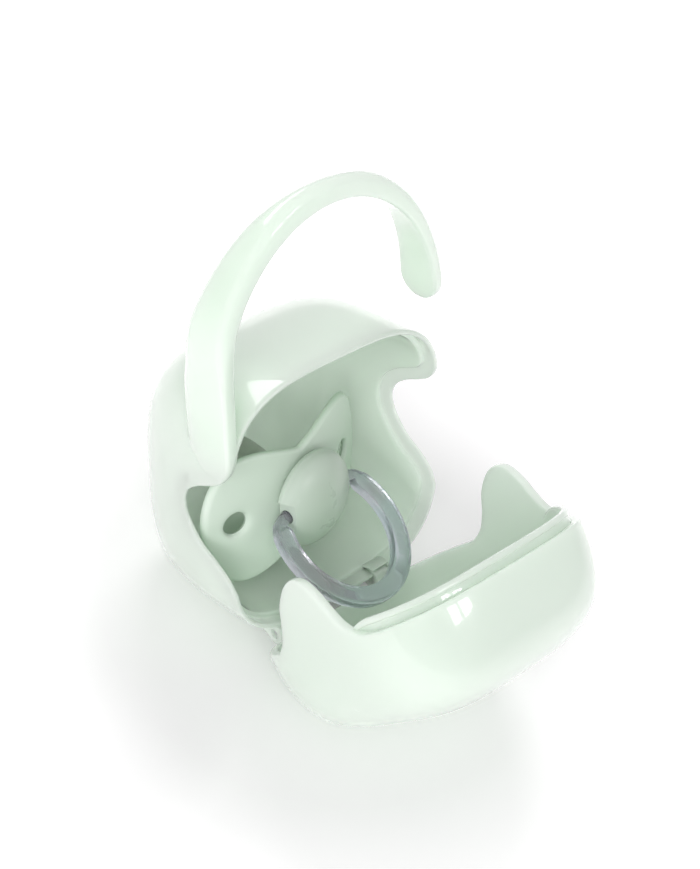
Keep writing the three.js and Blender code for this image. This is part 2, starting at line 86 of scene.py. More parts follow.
# Insets from the outer face and distances from the parting line that round a rim off, in mm
BACK_RIM = [
    (0, 1.4), (0, 0.75), (0.04, 0.42), (0.14, 0.24), (0.32, 0.15), (0.5, 0.14), (0.68, 0.15),
    (0.86, 0.24), (0.96, 0.42), (1, 0.75), (1, 1.5), (1, 2.4), (1, 3.0), (1.04, 3.2), (1.16, 3.3),
    (1.4, 3.34), (1.7, 3.36), (1.88, 3.44), (1.97, 3.62), (2, 4),
]
FRONT_RIM = [
    (0, 1.4), (0, 0.75), (0.05, 0.42), (0.18, 0.22), (0.42, 0.15), (0.9, 0.14), (1.5, 0.15),
    (1.8, 0.22), (1.95, 0.42), (2, 0.75), (2, 1.4),
]
# The lip's section: inset from the outer face, and place behind the hinge axis, in mm
LIP_SECTION = [
    (1.85, -2.6), (1.8, -1.2), (1.8, -0.2), (1.76, 0.02), (1.6, 0.14), (1.44, 0.24), (1.36, 0.44),
    (1.35, 0.8), (1.38, 1.12), (1.5, 1.36), (1.72, 1.48), (2.1, 1.52), (2.45, 1.48), (2.7, 1.36),
    (2.82, 1.12), (2.85, 0.8), (2.85, -1), (2.8, -2.4), (2.6, -3.2), (2.2, -3.8), (1.8, -4.1),
]


def length(name, description, default):
    return FloatProperty(name=name, description=description, default=default, unit="LENGTH")


def angle(name, description, degrees):
    return FloatProperty(
        name=name, description=description, default=math.radians(degrees), subtype="ANGLE", unit="ROTATION"
    )


def number(name, description, default, least=0.0):
    return FloatProperty(name=name, description=description, default=default, min=least)


def colour(name, description, default):
    return FloatVectorProperty(
        name=name, description=description, default=default, subtype="COLOR", size=3, min=0, max=1
    )


class ShellSizes(bpy.types.PropertyGroup):
    """Sizes of the two shells, drawn closed and upright with the hinge axis on X."""

    half_width: length("Half width", "From the middle to the side wall", 0.031)
    half_height: length("Half height", "From the middle to the top", 0.0312)
    back_depth: length("Back depth", "From the cube's middle to the back", 0.0328)
    front_depth: length("Front depth", "From the cube's middle to the front", 0.0304)
    behind_hinge: length("Middle behind hinge", "How far the cube's middle lies behind the hinge", 0.0046)
    above_hinge: length("Bottom above hinge", "How far the bottom lies above the hinge axis", 0.0009)
    cross_squareness: number("Cross squareness", "Higher is squarer, seen from the front", 3.5, 2)
    depth_squareness: number("Depth squareness", "Higher is squarer, seen from the side", 3.6, 2)
    wall: length("Wall", "Thickness of both shells", 0.002)
    rim_ahead: length("Rim ahead of hinge", "Where the shells part", 0.0014)
    ear_depth: length("Ear depth", "How far the front shell's ears reach back", 0.0148)
    ear_foot: length("Ear foot height", "Where an ear starts", 0.0168)
    ear_span: length("Ear span", "Height of an ear", 0.0349)
    open_angle: angle("Open angle", "How far the front shell stands open", 52.9)
    tip_angle: angle("Tip angle", "How far the whole is tipped back on the table", 19.98132)
    around: IntProperty(name="Columns", description="Columns of faces around a shell", default=340, min=60)


class HookSizes(bpy.types.PropertyGroup):
    """Sizes of the hook handle on the back shell's left wall."""

    off_centre: length("Off centre", "Sideways place of the arch's middle", -0.0011)
    half_span: length("Half span", "Half the arch's width", 0.0312)
    spring: length("Spring height", "Where the arch starts", 0.063)
    rise: length("Rise", "Height of the arch", 0.0377)
    foot: length("Foot height", "Where the strap leaves the wall", 0.0375)
    outer_rounding: length("Outer rounding", "Radius of the strap's outer edges", 0.0019)
    inner_rounding: length("Inner rounding", "Radius of the strap's inner edges", 0.0009)
    tip_angle: angle("Tip angle", "Where the arch ends", 0.9)


class LugSizes(bpy.types.PropertyGroup):
    """Sizes of the hinge lugs and pins."""

    radius: length("Lug radius", "Radius of a lug's eye", 0.0025)
    width: length("Lug width", "Width of each lug along the axis", 0.004)
    end: length("Outermost face", "Where the outer lugs end", 0.0187)
    gap: length("Lug gap", "Gap between neighbouring lugs", 0.0003)
    web: length("Web length", "How far a lug's web runs under the shell", 0.0065)
    pin: length("Pin radius", "Radius of a hinge pin", 0.001)
    recess: length("Pin recess", "How far a pin's end lies inside its lug", 0.001)


class PacifierSizes(bpy.types.PropertyGroup):
    """Sizes and place of the pacifier."""

    half_length: length("Shield half length", "From the middle to a wing's end", 0.0253)
    wing_height: length("Wing height", "Half height of a wing, before its swell", 0.0194)
    bend: length("Shield bend", "How far the wings' ends bend back", 0.006)
    thickness: length("Shield thickness", "Thickness of the shield", 0.002)
    hole_spacing: length("Air hole spacing", "Between the two air holes", 0.0358)
    hole_radius: length("Air hole radius", "Radius of an air hole", 0.0027)
    knob_radius: length("Knob radius", "Radius of the knob", 0.0112)
    knob_base: length("Knob base", "Height of the knob's edge over the shield's middle", 0.0033)
    knob_rise: length("Knob rise", "Height of the knob's dome", 0.0058)
    ring_half_width: length("Ring half width", "Half the ring's width", 0.0143)
    ring_half_length: length("Ring half length", "Half the ring's length", 0.0159)
    ring_drop: length("Ring drop", "From the pivot to the ring's middle", 0.00915)
    ring_band: length("Ring band", "Width of the ring's band", 0.0044)
    ring_thickness: length("Ring thickness", "Thickness of the ring's band", 0.0032)
    ring_pivot: length("Ring pivot", "Height of the ring's pivot over the shield's middle", 0.0043)
    ring_bar: length("Ring bar radius", "Radius of the bar that the ring turns on", 0.0013)
    ring_swing: angle("Ring swing", "How far the ring stands out", 51.6)
    teat_length: length("Teat length", "From the shield's middle to the teat's end", 0.026)
    sideways: length("Sideways", "Place of the pacifier across the box", -0.0022)
    height: length("Height", "Height of the pacifier over the hinge axis", 0.0253)
    yaw: angle("Yaw", "How far the pacifier is turned", 8)


class Finishes(bpy.types.PropertyGroup):
    """Colours of the finishes, as linear values."""

    mint: colour("Mint", "Glossy plastic of both shells", (0.75, 0.925, 0.755))
    sage: colour("Sage", "Satin plastic of the shield and knob", (0.77, 0.87, 0.775))
    smoke: colour("Smoke", "Clear grey plastic of the ring", (0.64, 0.71, 0.75))
    silicone: colour("Silicone", "Milky silicone of the teat", (0.74, 0.76, 0.71))
    steel: colour("Steel", "Hinge pins", (0.55, 0.56, 0.57))


class StudioSettings(bpy.types.PropertyGroup):
    """Light and camera."""

    sky: number("Sky", "Strength of the even light", 0.45)
    key: number("Key", "Power of the left light, in watts", 9.5)
    front: number("Front", "Power of the light over the camera, in watts", 2.0)
    back: number("Back", "Power of the light behind, in watts", 4.0)
    fill: number("Fill", "Power of the low light, in watts", 0.8)
    lens: length("Lens", "Focal length for a 36 mm sensor", 0.08736)


class PacifierBoxSettings(bpy.types.PropertyGroup):
    """Everything that can be set."""

    shell: PointerProperty(type=ShellSizes)
    hook: PointerProperty(type=HookSizes)
    lug: PointerProperty(type=LugSizes)
    pacifier: PointerProperty(type=PacifierSizes)
    finish: PointerProperty(type=Finishes)
    studio: PointerProperty(type=StudioSettings)


# Frames


def upright(settings):
    """From the upright closed box to the table."""
    return Matrix.Translation(HINGE) @ Matrix.Rotation(-settings.shell.tip_angle, 4, "X")


def opened(settings):
    """From the upright closed box to the opened front shell."""
    return upright(settings) @ Matrix.Rotation(settings.shell.open_angle, 4, "X")


def pacifier_place(settings):
    """From the pacifier's own axes (wings, height, knob) to the table."""
    shell, pac = settings.shell, settings.pacifier
    wall = shell.behind_hinge + shell.back_depth - shell.wall
    behind = wall - GAP - pac.teat_length * math.cos(pac.yaw)
    place = Matrix.Translation((pac.sideways, behind, pac.height))
    return upright(settings) @ place @ Matrix.Rotation(pac.yaw, 4, "Z") @ Matrix.Rotation(math.pi / 2, 4, "X")


def moved(points, matrix):
    """Points put through a matrix."""
    table = np.array(matrix, float)
    return np.asarray(points, float) @ table[:3, :3].T + table[:3, 3]


# Numbers


def smooth(share):
    """A share of 0 to 1, eased at both ends."""
    return share * share * (3 - 2 * share)


def halved(low, high, above, rounds=28):
    """Where above turns false between low and high."""
    for _ in range(rounds):
        middle = (low + high) / 2
        beyond = above(middle)
        low, high = np.where(beyond, middle, low), np.where(beyond, high, middle)
    return (low + high) / 2


# Meshes


def linked(name, data):
    """An object for some data, linked to the scene."""
    made = bpy.data.objects.new(name, data)
    bpy.context.scene.collection.objects.link(made)
    return made


def plain_mesh(name, points, faces=(), edges=()):
    """A mesh of the points, faces and edges that are given."""
    mesh = bpy.data.meshes.new(name)
    mesh.from_pydata([tuple(p) for p in points], edges, faces)
    return mesh


def evaluated(piece):
    """The mesh that a piece's modifiers make."""
    graph = bpy.context.evaluated_depsgraph_get()
    return bpy.data.meshes.new_from_object(piece.evaluated_get(graph), depsgraph=graph)


def boolean(piece, operation, other):
    """Adds a modifier that joins another piece on or cuts it out."""
    knife = piece.modifiers.new("boolean", "BOOLEAN")
    knife.operation, knife.solver, knife.object = operation, "MANIFOLD", other


def new_piece(name, points, faces, sharp=None):
    """A shaded mesh object whose place is in its mesh, with its faces outwards."""
    mesh = plain_mesh(name, points, faces)
    mesh.validate()
    piece = linked(name, mesh)
    finish_mesh(piece, sharp)
    return piece


def finish_mesh(piece, sharp=None, weld=1e-7):
    """Welds a piece, turns its faces outwards and shades it smooth up to the sharp angle."""
    form = bmesh.new()
    form.from_mesh(piece.data)
    bmesh.ops.remove_doubles(form, verts=form.verts, dist=weld)
    bmesh.ops.recalc_face_normals(form, faces=form.faces)
    form.to_mesh(piece.data)
    form.free()
    piece.data.shade_smooth()
    if sharp is not None:
        piece.data.set_sharp_from_angle(angle=sharp)


def fused(name, body, others):
    """One closed body from several that overlap."""
    for other in others:
        boolean(body, "UNION", other)
    mesh = evaluated(body)
    for other in (body, *others):
        bpy.data.objects.remove(other)
    mesh.name = name
    whole = linked(name, mesh)
    finish_mesh(whole, sharp=math.radians(42), weld=2e-6)
    return whole


def joined(name, pieces):
    """One object from several, with each one's faces kept."""
    form = bmesh.new()
    for piece in pieces:
        form.from_mesh(piece.data)
    mesh = bpy.data.meshes.new(name)
    form.to_mesh(mesh)
    form.free()
    for piece in pieces:
        bpy.data.objects.remove(piece)
    mesh.shade_smooth()
    return linked(name, mesh)


def ring_faces(rows, columns):
    """Quads between neighbouring closed rows of points."""
    faces = []
    for a in range(0, (rows - 1) * columns, columns):
        b = a + columns
        for j in range(columns):
            k = (j + 1) % columns
            faces.append((a + j, a + k, b + k, b + j))
    return faces


def fan(middle, start, columns):
    """Triangles from a middle point to a closed row."""
    return [(middle, start + j, start + (j + 1) % columns) for j in range(columns)]


def tube(rings):
    """Points and faces of a closed surface through rings of points, with its two ends filled."""
    columns = len(rings[0])
    points = list(np.concatenate(rings))
    faces = ring_faces(len(rings), columns)
    for start in (0, (len(rings) - 1) * columns):
        points.append(np.mean(points[start:start + columns], axis=0))
        faces += fan(len(points) - 1, start, columns)
    return points, faces


def lathe(name, profile, steps, matrix, sharp=None):
    """A profile of (radius, height) pairs turned about the third axis, with its poles closed."""
    turn = np.linspace(0, 2 * math.pi, steps, endpoint=False)
    points, faces, rows = [], [], []
    for radius, height in profile:
        if radius < 1e-9:
            rows.append([len(points)])
            points.append((0, 0, height))
        else:
            rows.append(list(range(len(points), len(points) + steps)))
            points += [(radius * math.cos(t), radius * math.sin(t), height) for t in turn]
    for low, high in zip(rows, rows[1:]):
        for j in range(steps):
            k = (j + 1) % steps
            if len(low) == 1:
                faces.append((low[0], high[j], high[k]))
            elif len(high) == 1:
                faces.append((low[j], low[k], high[0]))
            else:
                faces.append((low[j], low[k], high[k], high[j]))
    return new_piece(name, moved(points, matrix), faces, sharp)


def rod(radius, start, end):
    """A plain cylinder's profile."""
    return [(0, start), (radius, start), (radius, end), (0, end)]


def cut(piece, cutters):
    """Takes the cutters out of a piece."""
    for cutter in cutters:
        boolean(piece, "DIFFERENCE", cutter)
        mesh = evaluated(piece)
        piece.modifiers.clear()
        old, piece.data = piece.data, mesh
        mesh.name = piece.name
        bpy.data.meshes.remove(old)
        bpy.data.objects.remove(cutter)


# Geometry node trees


class Nodes:
    """Makes and links the nodes of one tree."""

    def __init__(self, tree):
        self.tree = tree

    def node(self, kind, settings=None, **links):
        made = self.tree.nodes.new(kind)
        for key, value in (settings or {}).items():
            setattr(made, key, value)
        for label, value in links.items():
            self.feed(made.inputs[label.replace("_", " ")], value)
        return made

    def feed(self, socket, value):
        if isinstance(value, bpy.types.NodeSocket):
            self.tree.links.new(value, socket)
        else:
            socket.default_value = value

    def result(self, kind, values, **settings):
        """The result of a node whose first sockets take the values in turn."""
        made = self.node(kind, settings)
        for socket, value in zip(made.inputs, values):
            self.feed(socket, value)
        return made.outputs[0]

    def math(self, operation, *values, clamp=False):
        return self.result("ShaderNodeMath", values, operation=operation, use_clamp=clamp)


class Tree(Nodes):
    """One geometry node tree with its sockets, the first and the last node."""

    def __init__(self, name, floats, vectors=()):
        super().__init__(bpy.data.node_groups.new(name, "GeometryNodeTree"))
        sockets = [("Geometry", "Geometry"), *((label, "Float") for label in floats)]
        sockets += [*((label, "Vector") for label in vectors), ("Material", "Material")]
        face = self.tree.interface
        for label, kind in sockets:
            face.new_socket(label, in_out="INPUT", socket_type="NodeSocket" + kind)
        face.new_socket("Geometry", in_out="OUTPUT", socket_type="NodeSocketGeometry")
        self.entry = self.tree.nodes.new("NodeGroupInput")
        self.exit = self.tree.nodes.new("NodeGroupOutput")

    def given(self, label):
        return self.entry.outputs[label]

    def close(self, geometry):
        """Realizes the instances, gives the material and ends the tree."""
        real = self.node("GeometryNodeRealizeInstances", Geometry=geometry)
        dressed = self.node(
            "GeometryNodeSetMaterial", Geometry=real.outputs[0], Material=self.given("Material")
        )
        self.tree.links.new(dressed.outputs[0], self.exit.inputs["Geometry"])
        return self.tree


def grown(name, seed, tree, values):
    """The plain mesh that a tree makes on a seed mesh, as an object."""
    carrier = linked(name, seed)
    maker = carrier.modifiers.new("maker", "NODES")
    maker.node_group = tree
    sockets = {
        item.name: item.identifier for item in tree.interface.items_tree if item.in_out == "INPUT"
    }
    for label, value in values.items():
        maker[sockets[label]] = value
    mesh = evaluated(carrier)
    carrier.modifiers.clear()
    carrier.data = mesh
    mesh.name = name
    return carrier


def rounded_cube_tree():
    """Turns (angle around, angle from the back, inset) into places on a rounded cube."""
    made = Tree(
        "rounded_cube_shell",
        ["Half Width", "Half Height", "Back Depth", "Front Depth", "Middle Behind", "Middle Height",
         "Cross Squareness", "Depth Squareness", "Turn"],
        ["Hinge"],
    )
    m, given = made.math, made.given

    def squared(power, a, b):
        """One over the length of (a, b), measured with a higher power than 2."""
        whole = m("ADD", m("POWER", a, power), m("POWER", b, power))
        return m("POWER", whole, m("DIVIDE", -1.0, power))

    seed = made.node("GeometryNodeInputPosition").outputs[0]
    around, along, inset = made.node("ShaderNodeSeparateXYZ", Vector=seed).outputs
    east, north = m("COSINE", around), m("SINE", around)
    wide = m("DIVIDE", m("ABSOLUTE", east), m("SUBTRACT", given("Half Width"), inset))
    high = m("DIVIDE", m("ABSOLUTE", north), m("SUBTRACT", given("Half Height"), inset))
    reach = squared(given("Cross Squareness"), wide, high)
    out, back = m("SINE", along), m("COSINE", along)
    share = squared(given("Depth Squareness"), m("ABSOLUTE", out), m("ABSOLUTE", back))
    behind = m("GREATER_THAN", back, 0.0)
    back_depth = m("MULTIPLY", behind, given("Back Depth"))
    front_depth = m("MULTIPLY", m("SUBTRACT", 1.0, behind), given("Front Depth"))
    depth = m("SUBTRACT", m("ADD", back_depth, front_depth), inset)
    span = m("MULTIPLY", m("MULTIPLY", reach, out), share)
    place = made.node(
        "ShaderNodeCombineXYZ",
        X=m("MULTIPLY", east, span),
        Y=m("ADD", given("Middle Behind"), m("MULTIPLY", depth, m("MULTIPLY", back, share))),
        Z=m("ADD", given("Middle Height"), m("MULTIPLY", north, span)),
    )
    turned = made.node(
        "ShaderNodeVectorRotate", {"rotation_type": "X_AXIS"}, Vector=place.outputs[0], Angle=given("Turn")
    )
    sited = made.result("ShaderNodeVectorMath", (turned.outputs[0], given("Hinge")), operation="ADD")
    # What would lie below the table is flattened onto it
    x, y, z = made.node("ShaderNodeSeparateXYZ", Vector=sited).outputs
    resting = made.node("ShaderNodeCombineXYZ", X=x, Y=y, Z=m("MAXIMUM", z, 0.0))
    shaped = made.node("GeometryNodeSetPosition", Geometry=given("Geometry"), Position=resting.outputs[0])
    return made.close(shaped.outputs[0])


def pin_tree():
    """A chamfered pin at each seed point, lying along X."""
    made = Tree("hinge_pins", ["Radius", "Length", "Chamfer"])
    m, given = made.math, made.given
    line = made.node("GeometryNodeMeshLine", {"mode": "OFFSET"}, Count=4)
    place = made.node("GeometryNodeInputIndex").outputs[0]
    # Of four points along the pin, the two inner ones lie a chamfer inwards and have the full radius
    inwards = m("MULTIPLY", m("COMPARE", place, 1.5, 0.9), given("Chamfer"))
    radius = m("ADD", inwards, m("SUBTRACT", given("Radius"), given("Chamfer")))
    side = m("SIGN", m("SUBTRACT", place, 1.5))
    x = m("MULTIPLY", side, m("SUBTRACT", m("DIVIDE", given("Length"), 2.0), inwards))
    spot = made.node("ShaderNodeCombineXYZ", X=x, Y=0.0, Z=0.0)
    shaped = made.node("GeometryNodeSetPosition", Geometry=line.outputs[0], Position=spot.outputs[0])
    path = made.node("GeometryNodeMeshToCurve", Mesh=shaped.outputs[0])
    circle = made.node("GeometryNodeCurvePrimitiveCircle", Resolution=40, Radius=1.0)
    solid = made.node(
        "GeometryNodeCurveToMesh", Curve=path.outputs[0], Profile_Curve=circle.outputs[0], Scale=radius,
        Fill_Caps=True,
    )
    spread = made.node(
        "GeometryNodeInstanceOnPoints", Points=given("Geometry"), Instance=solid.outputs[0]
    )
    return made.close(spread.outputs[0])


def band_tree():
    """A band of rounded section along the seed's edges, scaled by its band_scale attribute."""
    made = Tree("ring_band", ["Band", "Thickness", "Rounding"])
    given = made.given
    path = made.node("GeometryNodeMeshToCurve", Mesh=given("Geometry"))
    scale = made.node("GeometryNodeInputNamedAttribute", {"data_type": "FLOAT"}, Name="band_scale")
    normal = made.node("GeometryNodeSetCurveNormal", {"mode": "Z_UP"}, Curve=path.outputs[0])
    quad = made.node(
        "GeometryNodeCurvePrimitiveQuadrilateral", Width=given("Band"), Height=given("Thickness")
    )
    soft = made.node(
        "GeometryNodeFilletCurve", {"mode": "POLY"}, Curve=quad.outputs[0], Count=5,
        Radius=given("Rounding"),
    )
    solid = made.node(
        "GeometryNodeCurveToMesh", Curve=normal.outputs[0], Profile_Curve=soft.outputs[0],
        Scale=scale.outputs[0], Fill_Caps=True,
    )
    return made.close(solid.outputs[0])


# The rounded cube and its parting line


class RoundedCube:
    """The cube's rule in numbers, for finding where its surfaces meet the parting line."""

    def __init__(self, shell):
        self.shell = shell
        self.middle_height = shell.half_height + shell.above_hinge
        self.line = self.parting_line()

    def parting_line(self):
        """(behind, height) points from below the box to above it."""
        shell = self.shell
        knots = np.array([
            (-shell.rim_ahead + shell.ear_depth * d, shell.ear_foot + shell.ear_span * h)
            for d, h in EAR_OUTLINE
        ])
        fine = through(knots, 14)
        far_below, far_above = (-shell.rim_ahead, -0.2), (-shell.rim_ahead, 0.3)
        return np.vstack([[far_below], fine, [far_above]])

    def rim_behind(self, height):
        """How far behind the hinge the parting line lies at a height."""
        return np.interp(height, self.line[:, 1], self.line[:, 0])

    def place(self, around, along, inset):
        shell = self.shell
        c, s = np.cos(around), np.sin(around)
        n, m = shell.cross_squareness, shell.depth_squareness
        wide = (np.abs(c) / (shell.half_width - inset)) ** n
        high = (np.abs(s) / (shell.half_height - inset)) ** n
        reach = (wide + high) ** (-1 / n)
        out, back = np.sin(along), np.cos(along)
        share = (np.abs(out) ** m + np.abs(back) ** m) ** (-1 / m)
        depth = np.where(back > 0, shell.back_depth, shell.front_depth) - inset
        return np.stack([
            c * reach * out * share,
            shell.behind_hinge + depth * back * share,
            self.middle_height + s * reach * out * share,
        ], -1)

    def behind_line(self, points):
        """Distance behind the parting line, seen from the side, and negative ahead of it."""
        spot = points[..., None, 1:3]
        a, b = self.line[:-1], self.line[1:]
        run = b - a
        t = np.clip(((spot - a) * run).sum(-1) / (run ** 2).sum(-1), 0, 1)
        far = np.sqrt((((a + t[..., None] * run) - spot) ** 2).sum(-1)).min(-1)
        return np.where(points[..., 1] > self.rim_behind(points[..., 2]), far, -far)

    def solve(self, around, inset, wanted, measure):
        """The angle from the back at which measure falls to wanted, for each column."""
        low = np.full_like(around, 1e-3)
        return halved(low, math.pi - low, lambda along: measure(self.place(around, along, inset)) > wanted)

    def columns(self, count):
        """Angles around the box that fall evenly along the rim, and somewhat evenly around it."""
        dense = np.linspace(0, 2 * math.pi, 1201)
        rim = self.place(dense, self.solve(dense, 0.0, 0.0, self.behind_line), 0.0)
        steps = np.linalg.norm(np.diff(rim, axis=0), axis=1)
        even_share = 0.35
        run = np.cumsum(steps / steps.sum() + even_share * np.diff(dense) / (2 * math.pi))
        return np.interp(np.linspace(0, run[-1], count, endpoint=False), np.insert(run, 0, 0), dense)

    def inside(self, point, inset):
        """How full the cube is at a point: below 1 inside it."""
        shell = self.shell
        x, y, z = point
        n, m = shell.cross_squareness, shell.depth_squareness
        cross = (abs(x) / (shell.half_width - inset)) ** n
        cross += (abs(z - self.middle_height) / (shell.half_height - inset)) ** n
        back = y - shell.behind_hinge
        depth = (shell.back_depth if back > 0 else shell.front_depth) - inset
        return cross ** (m / n) + (abs(back) / depth) ** m

    def left_wall(self, point, inset):
        """The left wall's x at a point's depth and height."""
        _, y, z = point
        return -float(halved(0.0, self.shell.half_width, lambda out: self.inside((out, y, z), inset) < 1))


def through(knots, steps):
    """A smooth line through knots, as a Catmull-Rom spline."""
    knots = np.asarray(knots, float)
    last = len(knots) - 1
    line = []
    for i in range(last):
        p0, p1 = knots[max(i - 1, 0)], knots[i]
        p2, p3 = knots[i + 1], knots[min(i + 2, last)]
        for t in np.arange(steps) / steps:
            v0, v1 = (p2 - p0) / 2, (p3 - p1) / 2
            cubic, square = 2 * p1 - 2 * p2 + v0 + v1, -3 * p1 + 3 * p2 - 2 * v0 - v1
            line.append(cubic * t ** 3 + square * t ** 2 + v0 * t + p1)
    line.append(knots[-1])
    return np.array(line)


def smoothly(values, shares):
    """Values at even steps, read at some shares of the way along a smooth line through them."""
    line = through(list(enumerate(values)), 60)[:, 1]
    return np.interp(shares, np.linspace(0, 1, len(line)), line)


def shell_seed(cube, count, rim, front):
    """A shell as a mesh of (angle around, angle from the back, inset), for the tree to shape."""
    around = cube.columns(count)
    sign, pole = (-1, math.pi) if front else (1, 0.0)
    rows = []
    for inset, far in rim:
        along = cube.solve(around, inset * MM, sign * far * MM, cube.behind_line)
        rows.append(np.stack([around, along, np.full_like(around, inset * MM)], -1))

    def wall(row, shares):
        return [np.stack([around, pole + (row[:, 1] - pole) * e, row[:, 2]], -1) for e in shares]

    shares = np.linspace(0, 1, 46)[1:-1]
    every = wall(rows[0], shares) + rows + wall(rows[-1], shares[::-1][::2])
    points = list(np.concatenate(every))
    faces = ring_faces(len(every), count)
    for row, depth in ((0, 0.0), (len(every) - 1, rim[-1][0] * MM)):
        points.append(np.array([0.0, pole, depth]))
        faces += fan(len(points) - 1, row * count, count)
    return plain_mesh("shell_seed", points, faces)


def shaped_by_cube(name, seed, settings, turn, material):
    """A seed mesh of angles and insets, shaped into a part of a shell and turned about the hinge."""
    shell = settings.shell
    tree = bpy.data.node_groups.get("rounded_cube_shell") or rounded_cube_tree()
    piece = grown(name, seed, tree, {
        "Half Width": shell.half_width, "Half Height": shell.half_height,
        "Back Depth": shell.back_depth, "Front Depth": shell.front_depth,
        "Middle Behind": shell.behind_hinge, "Middle Height": shell.half_height + shell.above_hinge,
        "Cross Squareness": shell.cross_squareness, "Depth Squareness": shell.depth_squareness,
        "Turn": turn, "Hinge": tuple(HINGE), "Material": material,
    })
    finish_mesh(piece)
    return piece


def lip_seed(cube):
    """The front shell's lip, over the top of its mouth and fading out inside its ears."""
    side, stations, fading = math.radians(9), 190, 26
    around = np.linspace(side, math.pi - side, stations)
    steps = np.arange(stations)
    fade = smooth(np.clip(np.minimum(steps, steps[::-1]) / fading, 0, 1))
    rings = []
    for inset, behind in LIP_SECTION:
        # Where it fades, its section shrinks and sinks into the wall
        deep = (fade * inset + (1 - fade) * (0.7 + 0.4 * (inset - 1.35))) * MM
        far = (fade * behind + (1 - fade) * (0.25 * behind - 2.6)) * MM
        along = cube.solve(around, deep, far, lambda points: points[:, 1])
        rings.append(np.stack([around, along, deep], -1))
    return plain_mesh("lip_seed", *tube(np.array(rings).transpose(1, 0, 2)))


# Hook handle


def hook_section(thickness, depth, outer, inner, rear):
    """The strap's section as (outward, behind) pairs. Each corner has its own two radii."""
    corners = [(1, 0, outer, 0.48), (-1, 0, inner, 0.28), (-1, 1, inner, 0.28), (1, 1, rear, 0.7)]
    steps = 7
    section = []
    for quarter, (side, end, (across, deep), limit) in enumerate(corners):
        across, deep = min(across, limit * thickness), min(deep, limit * depth)
        out = side * (thickness / 2 - across)
        behind = deep if end == 0 else depth - deep
        for i in range(steps + 1):
            turn = math.pi / 2 * (quarter + i / steps)
            section.append((out + across * math.cos(turn), behind - deep * math.sin(turn)))
    return section


def hook_stations(hook):
    """(x, z, share of the arch, narrowing) along the strap's middle."""
    foot_steps, arch_steps, tip_steps, tip_share, tip_flat = 26, 119, 12, 0.05, 0.985
    stations = []
    for i in range(foot_steps):
        height = hook.foot + (hook.spring - hook.foot) * i / foot_steps
        stations.append((hook.off_centre - hook.half_span, height, 0.0, 1.0))
    for i in range(arch_steps + tip_steps + 1):
        end = math.pi / 2 * max((i - arch_steps) / tip_steps, 0) * tip_flat
        share = (1 - tip_share) * min(i / arch_steps, 1) + tip_share * math.sin(end)
        turn = math.pi + (hook.tip_angle - math.pi) * share
        x = hook.off_centre + hook.half_span * math.cos(turn)
        stations.append((x, hook.spring + hook.rise * math.sin(turn), share, math.cos(end)))
    stations = np.array(stations)
    lean = through(HOOK_LEAN, 12) * MM
    near = stations[:, 2] < HOOK_FOOT_SHARE
    stations[near, 0] += np.interp(stations[near, 1], lean[:, 0], lean[:, 1])
    return stations


def hook_strap(settings, cube):
    """The strap: it leaves the left wall, arches over and ends in a rounded spoon."""
    hook = settings.hook
    stations = hook_stations(hook)
    depths = smoothly(HOOK_DEPTHS, stations[:, 2]) * MM
    thicknesses = smoothly(HOOK_THICKNESSES, stations[:, 2]) * MM
    # Over this height the strap blends into its foot: thinner, sharper in front and rounder behind
    blend, thinner, least_depth = 16 * MM, 0.8 * MM, 0.4 * MM
    rim = HOOK_SET_BACK - settings.shell.rim_ahead
    rings = []
    for i, (x, z, share, narrowing) in enumerate(stations):
        before, after = stations[max(i - 1, 0), :2], stations[min(i + 1, len(stations) - 1), :2]
        along = (after - before) / np.linalg.norm(after - before)
        front = rim
        if share == 0:
            front = max(rim, float(cube.rim_behind(z)) + HOOK_SET_BACK)
        depth = max(depths[i] + rim - front, least_depth)
        foot = smooth(float(np.clip((hook.spring + blend - z) / blend, 0, 1))) * (share < HOOK_FOOT_SHARE)
        thickness = thicknesses[i] * (0.55 + 0.45 * narrowing) - thinner * foot
        outer = (hook.outer_rounding - foot * 0.9 * MM, hook.outer_rounding - foot * 1.1 * MM)
        rear = (hook.outer_rounding + foot * 1.2 * MM, hook.outer_rounding + foot * 7 * MM)
        ring = []
        for outward, behind in hook_section(thickness, depth, outer, (hook.inner_rounding,) * 2, rear):
            y = front + depth / 2 + (behind - depth / 2) * narrowing
            point = [x - along[1] * outward, y, z + along[0] * outward]
            if share < HOOK_FOOT_SHARE and cube.inside(point, HOOK_SINK) < 1:
                point[0] = cube.left_wall(point, HOOK_SINK)
            ring.append(point)
        rings.append(moved(ring, upright(settings)))
    return new_piece("strap", *tube(rings), sharp=math.radians(70))


# Hinge


def face_middle(face, points):
    """The mean of a flat face's corners."""
    return sum((points[i] for i in face), Vector((0, 0))) / len(face)


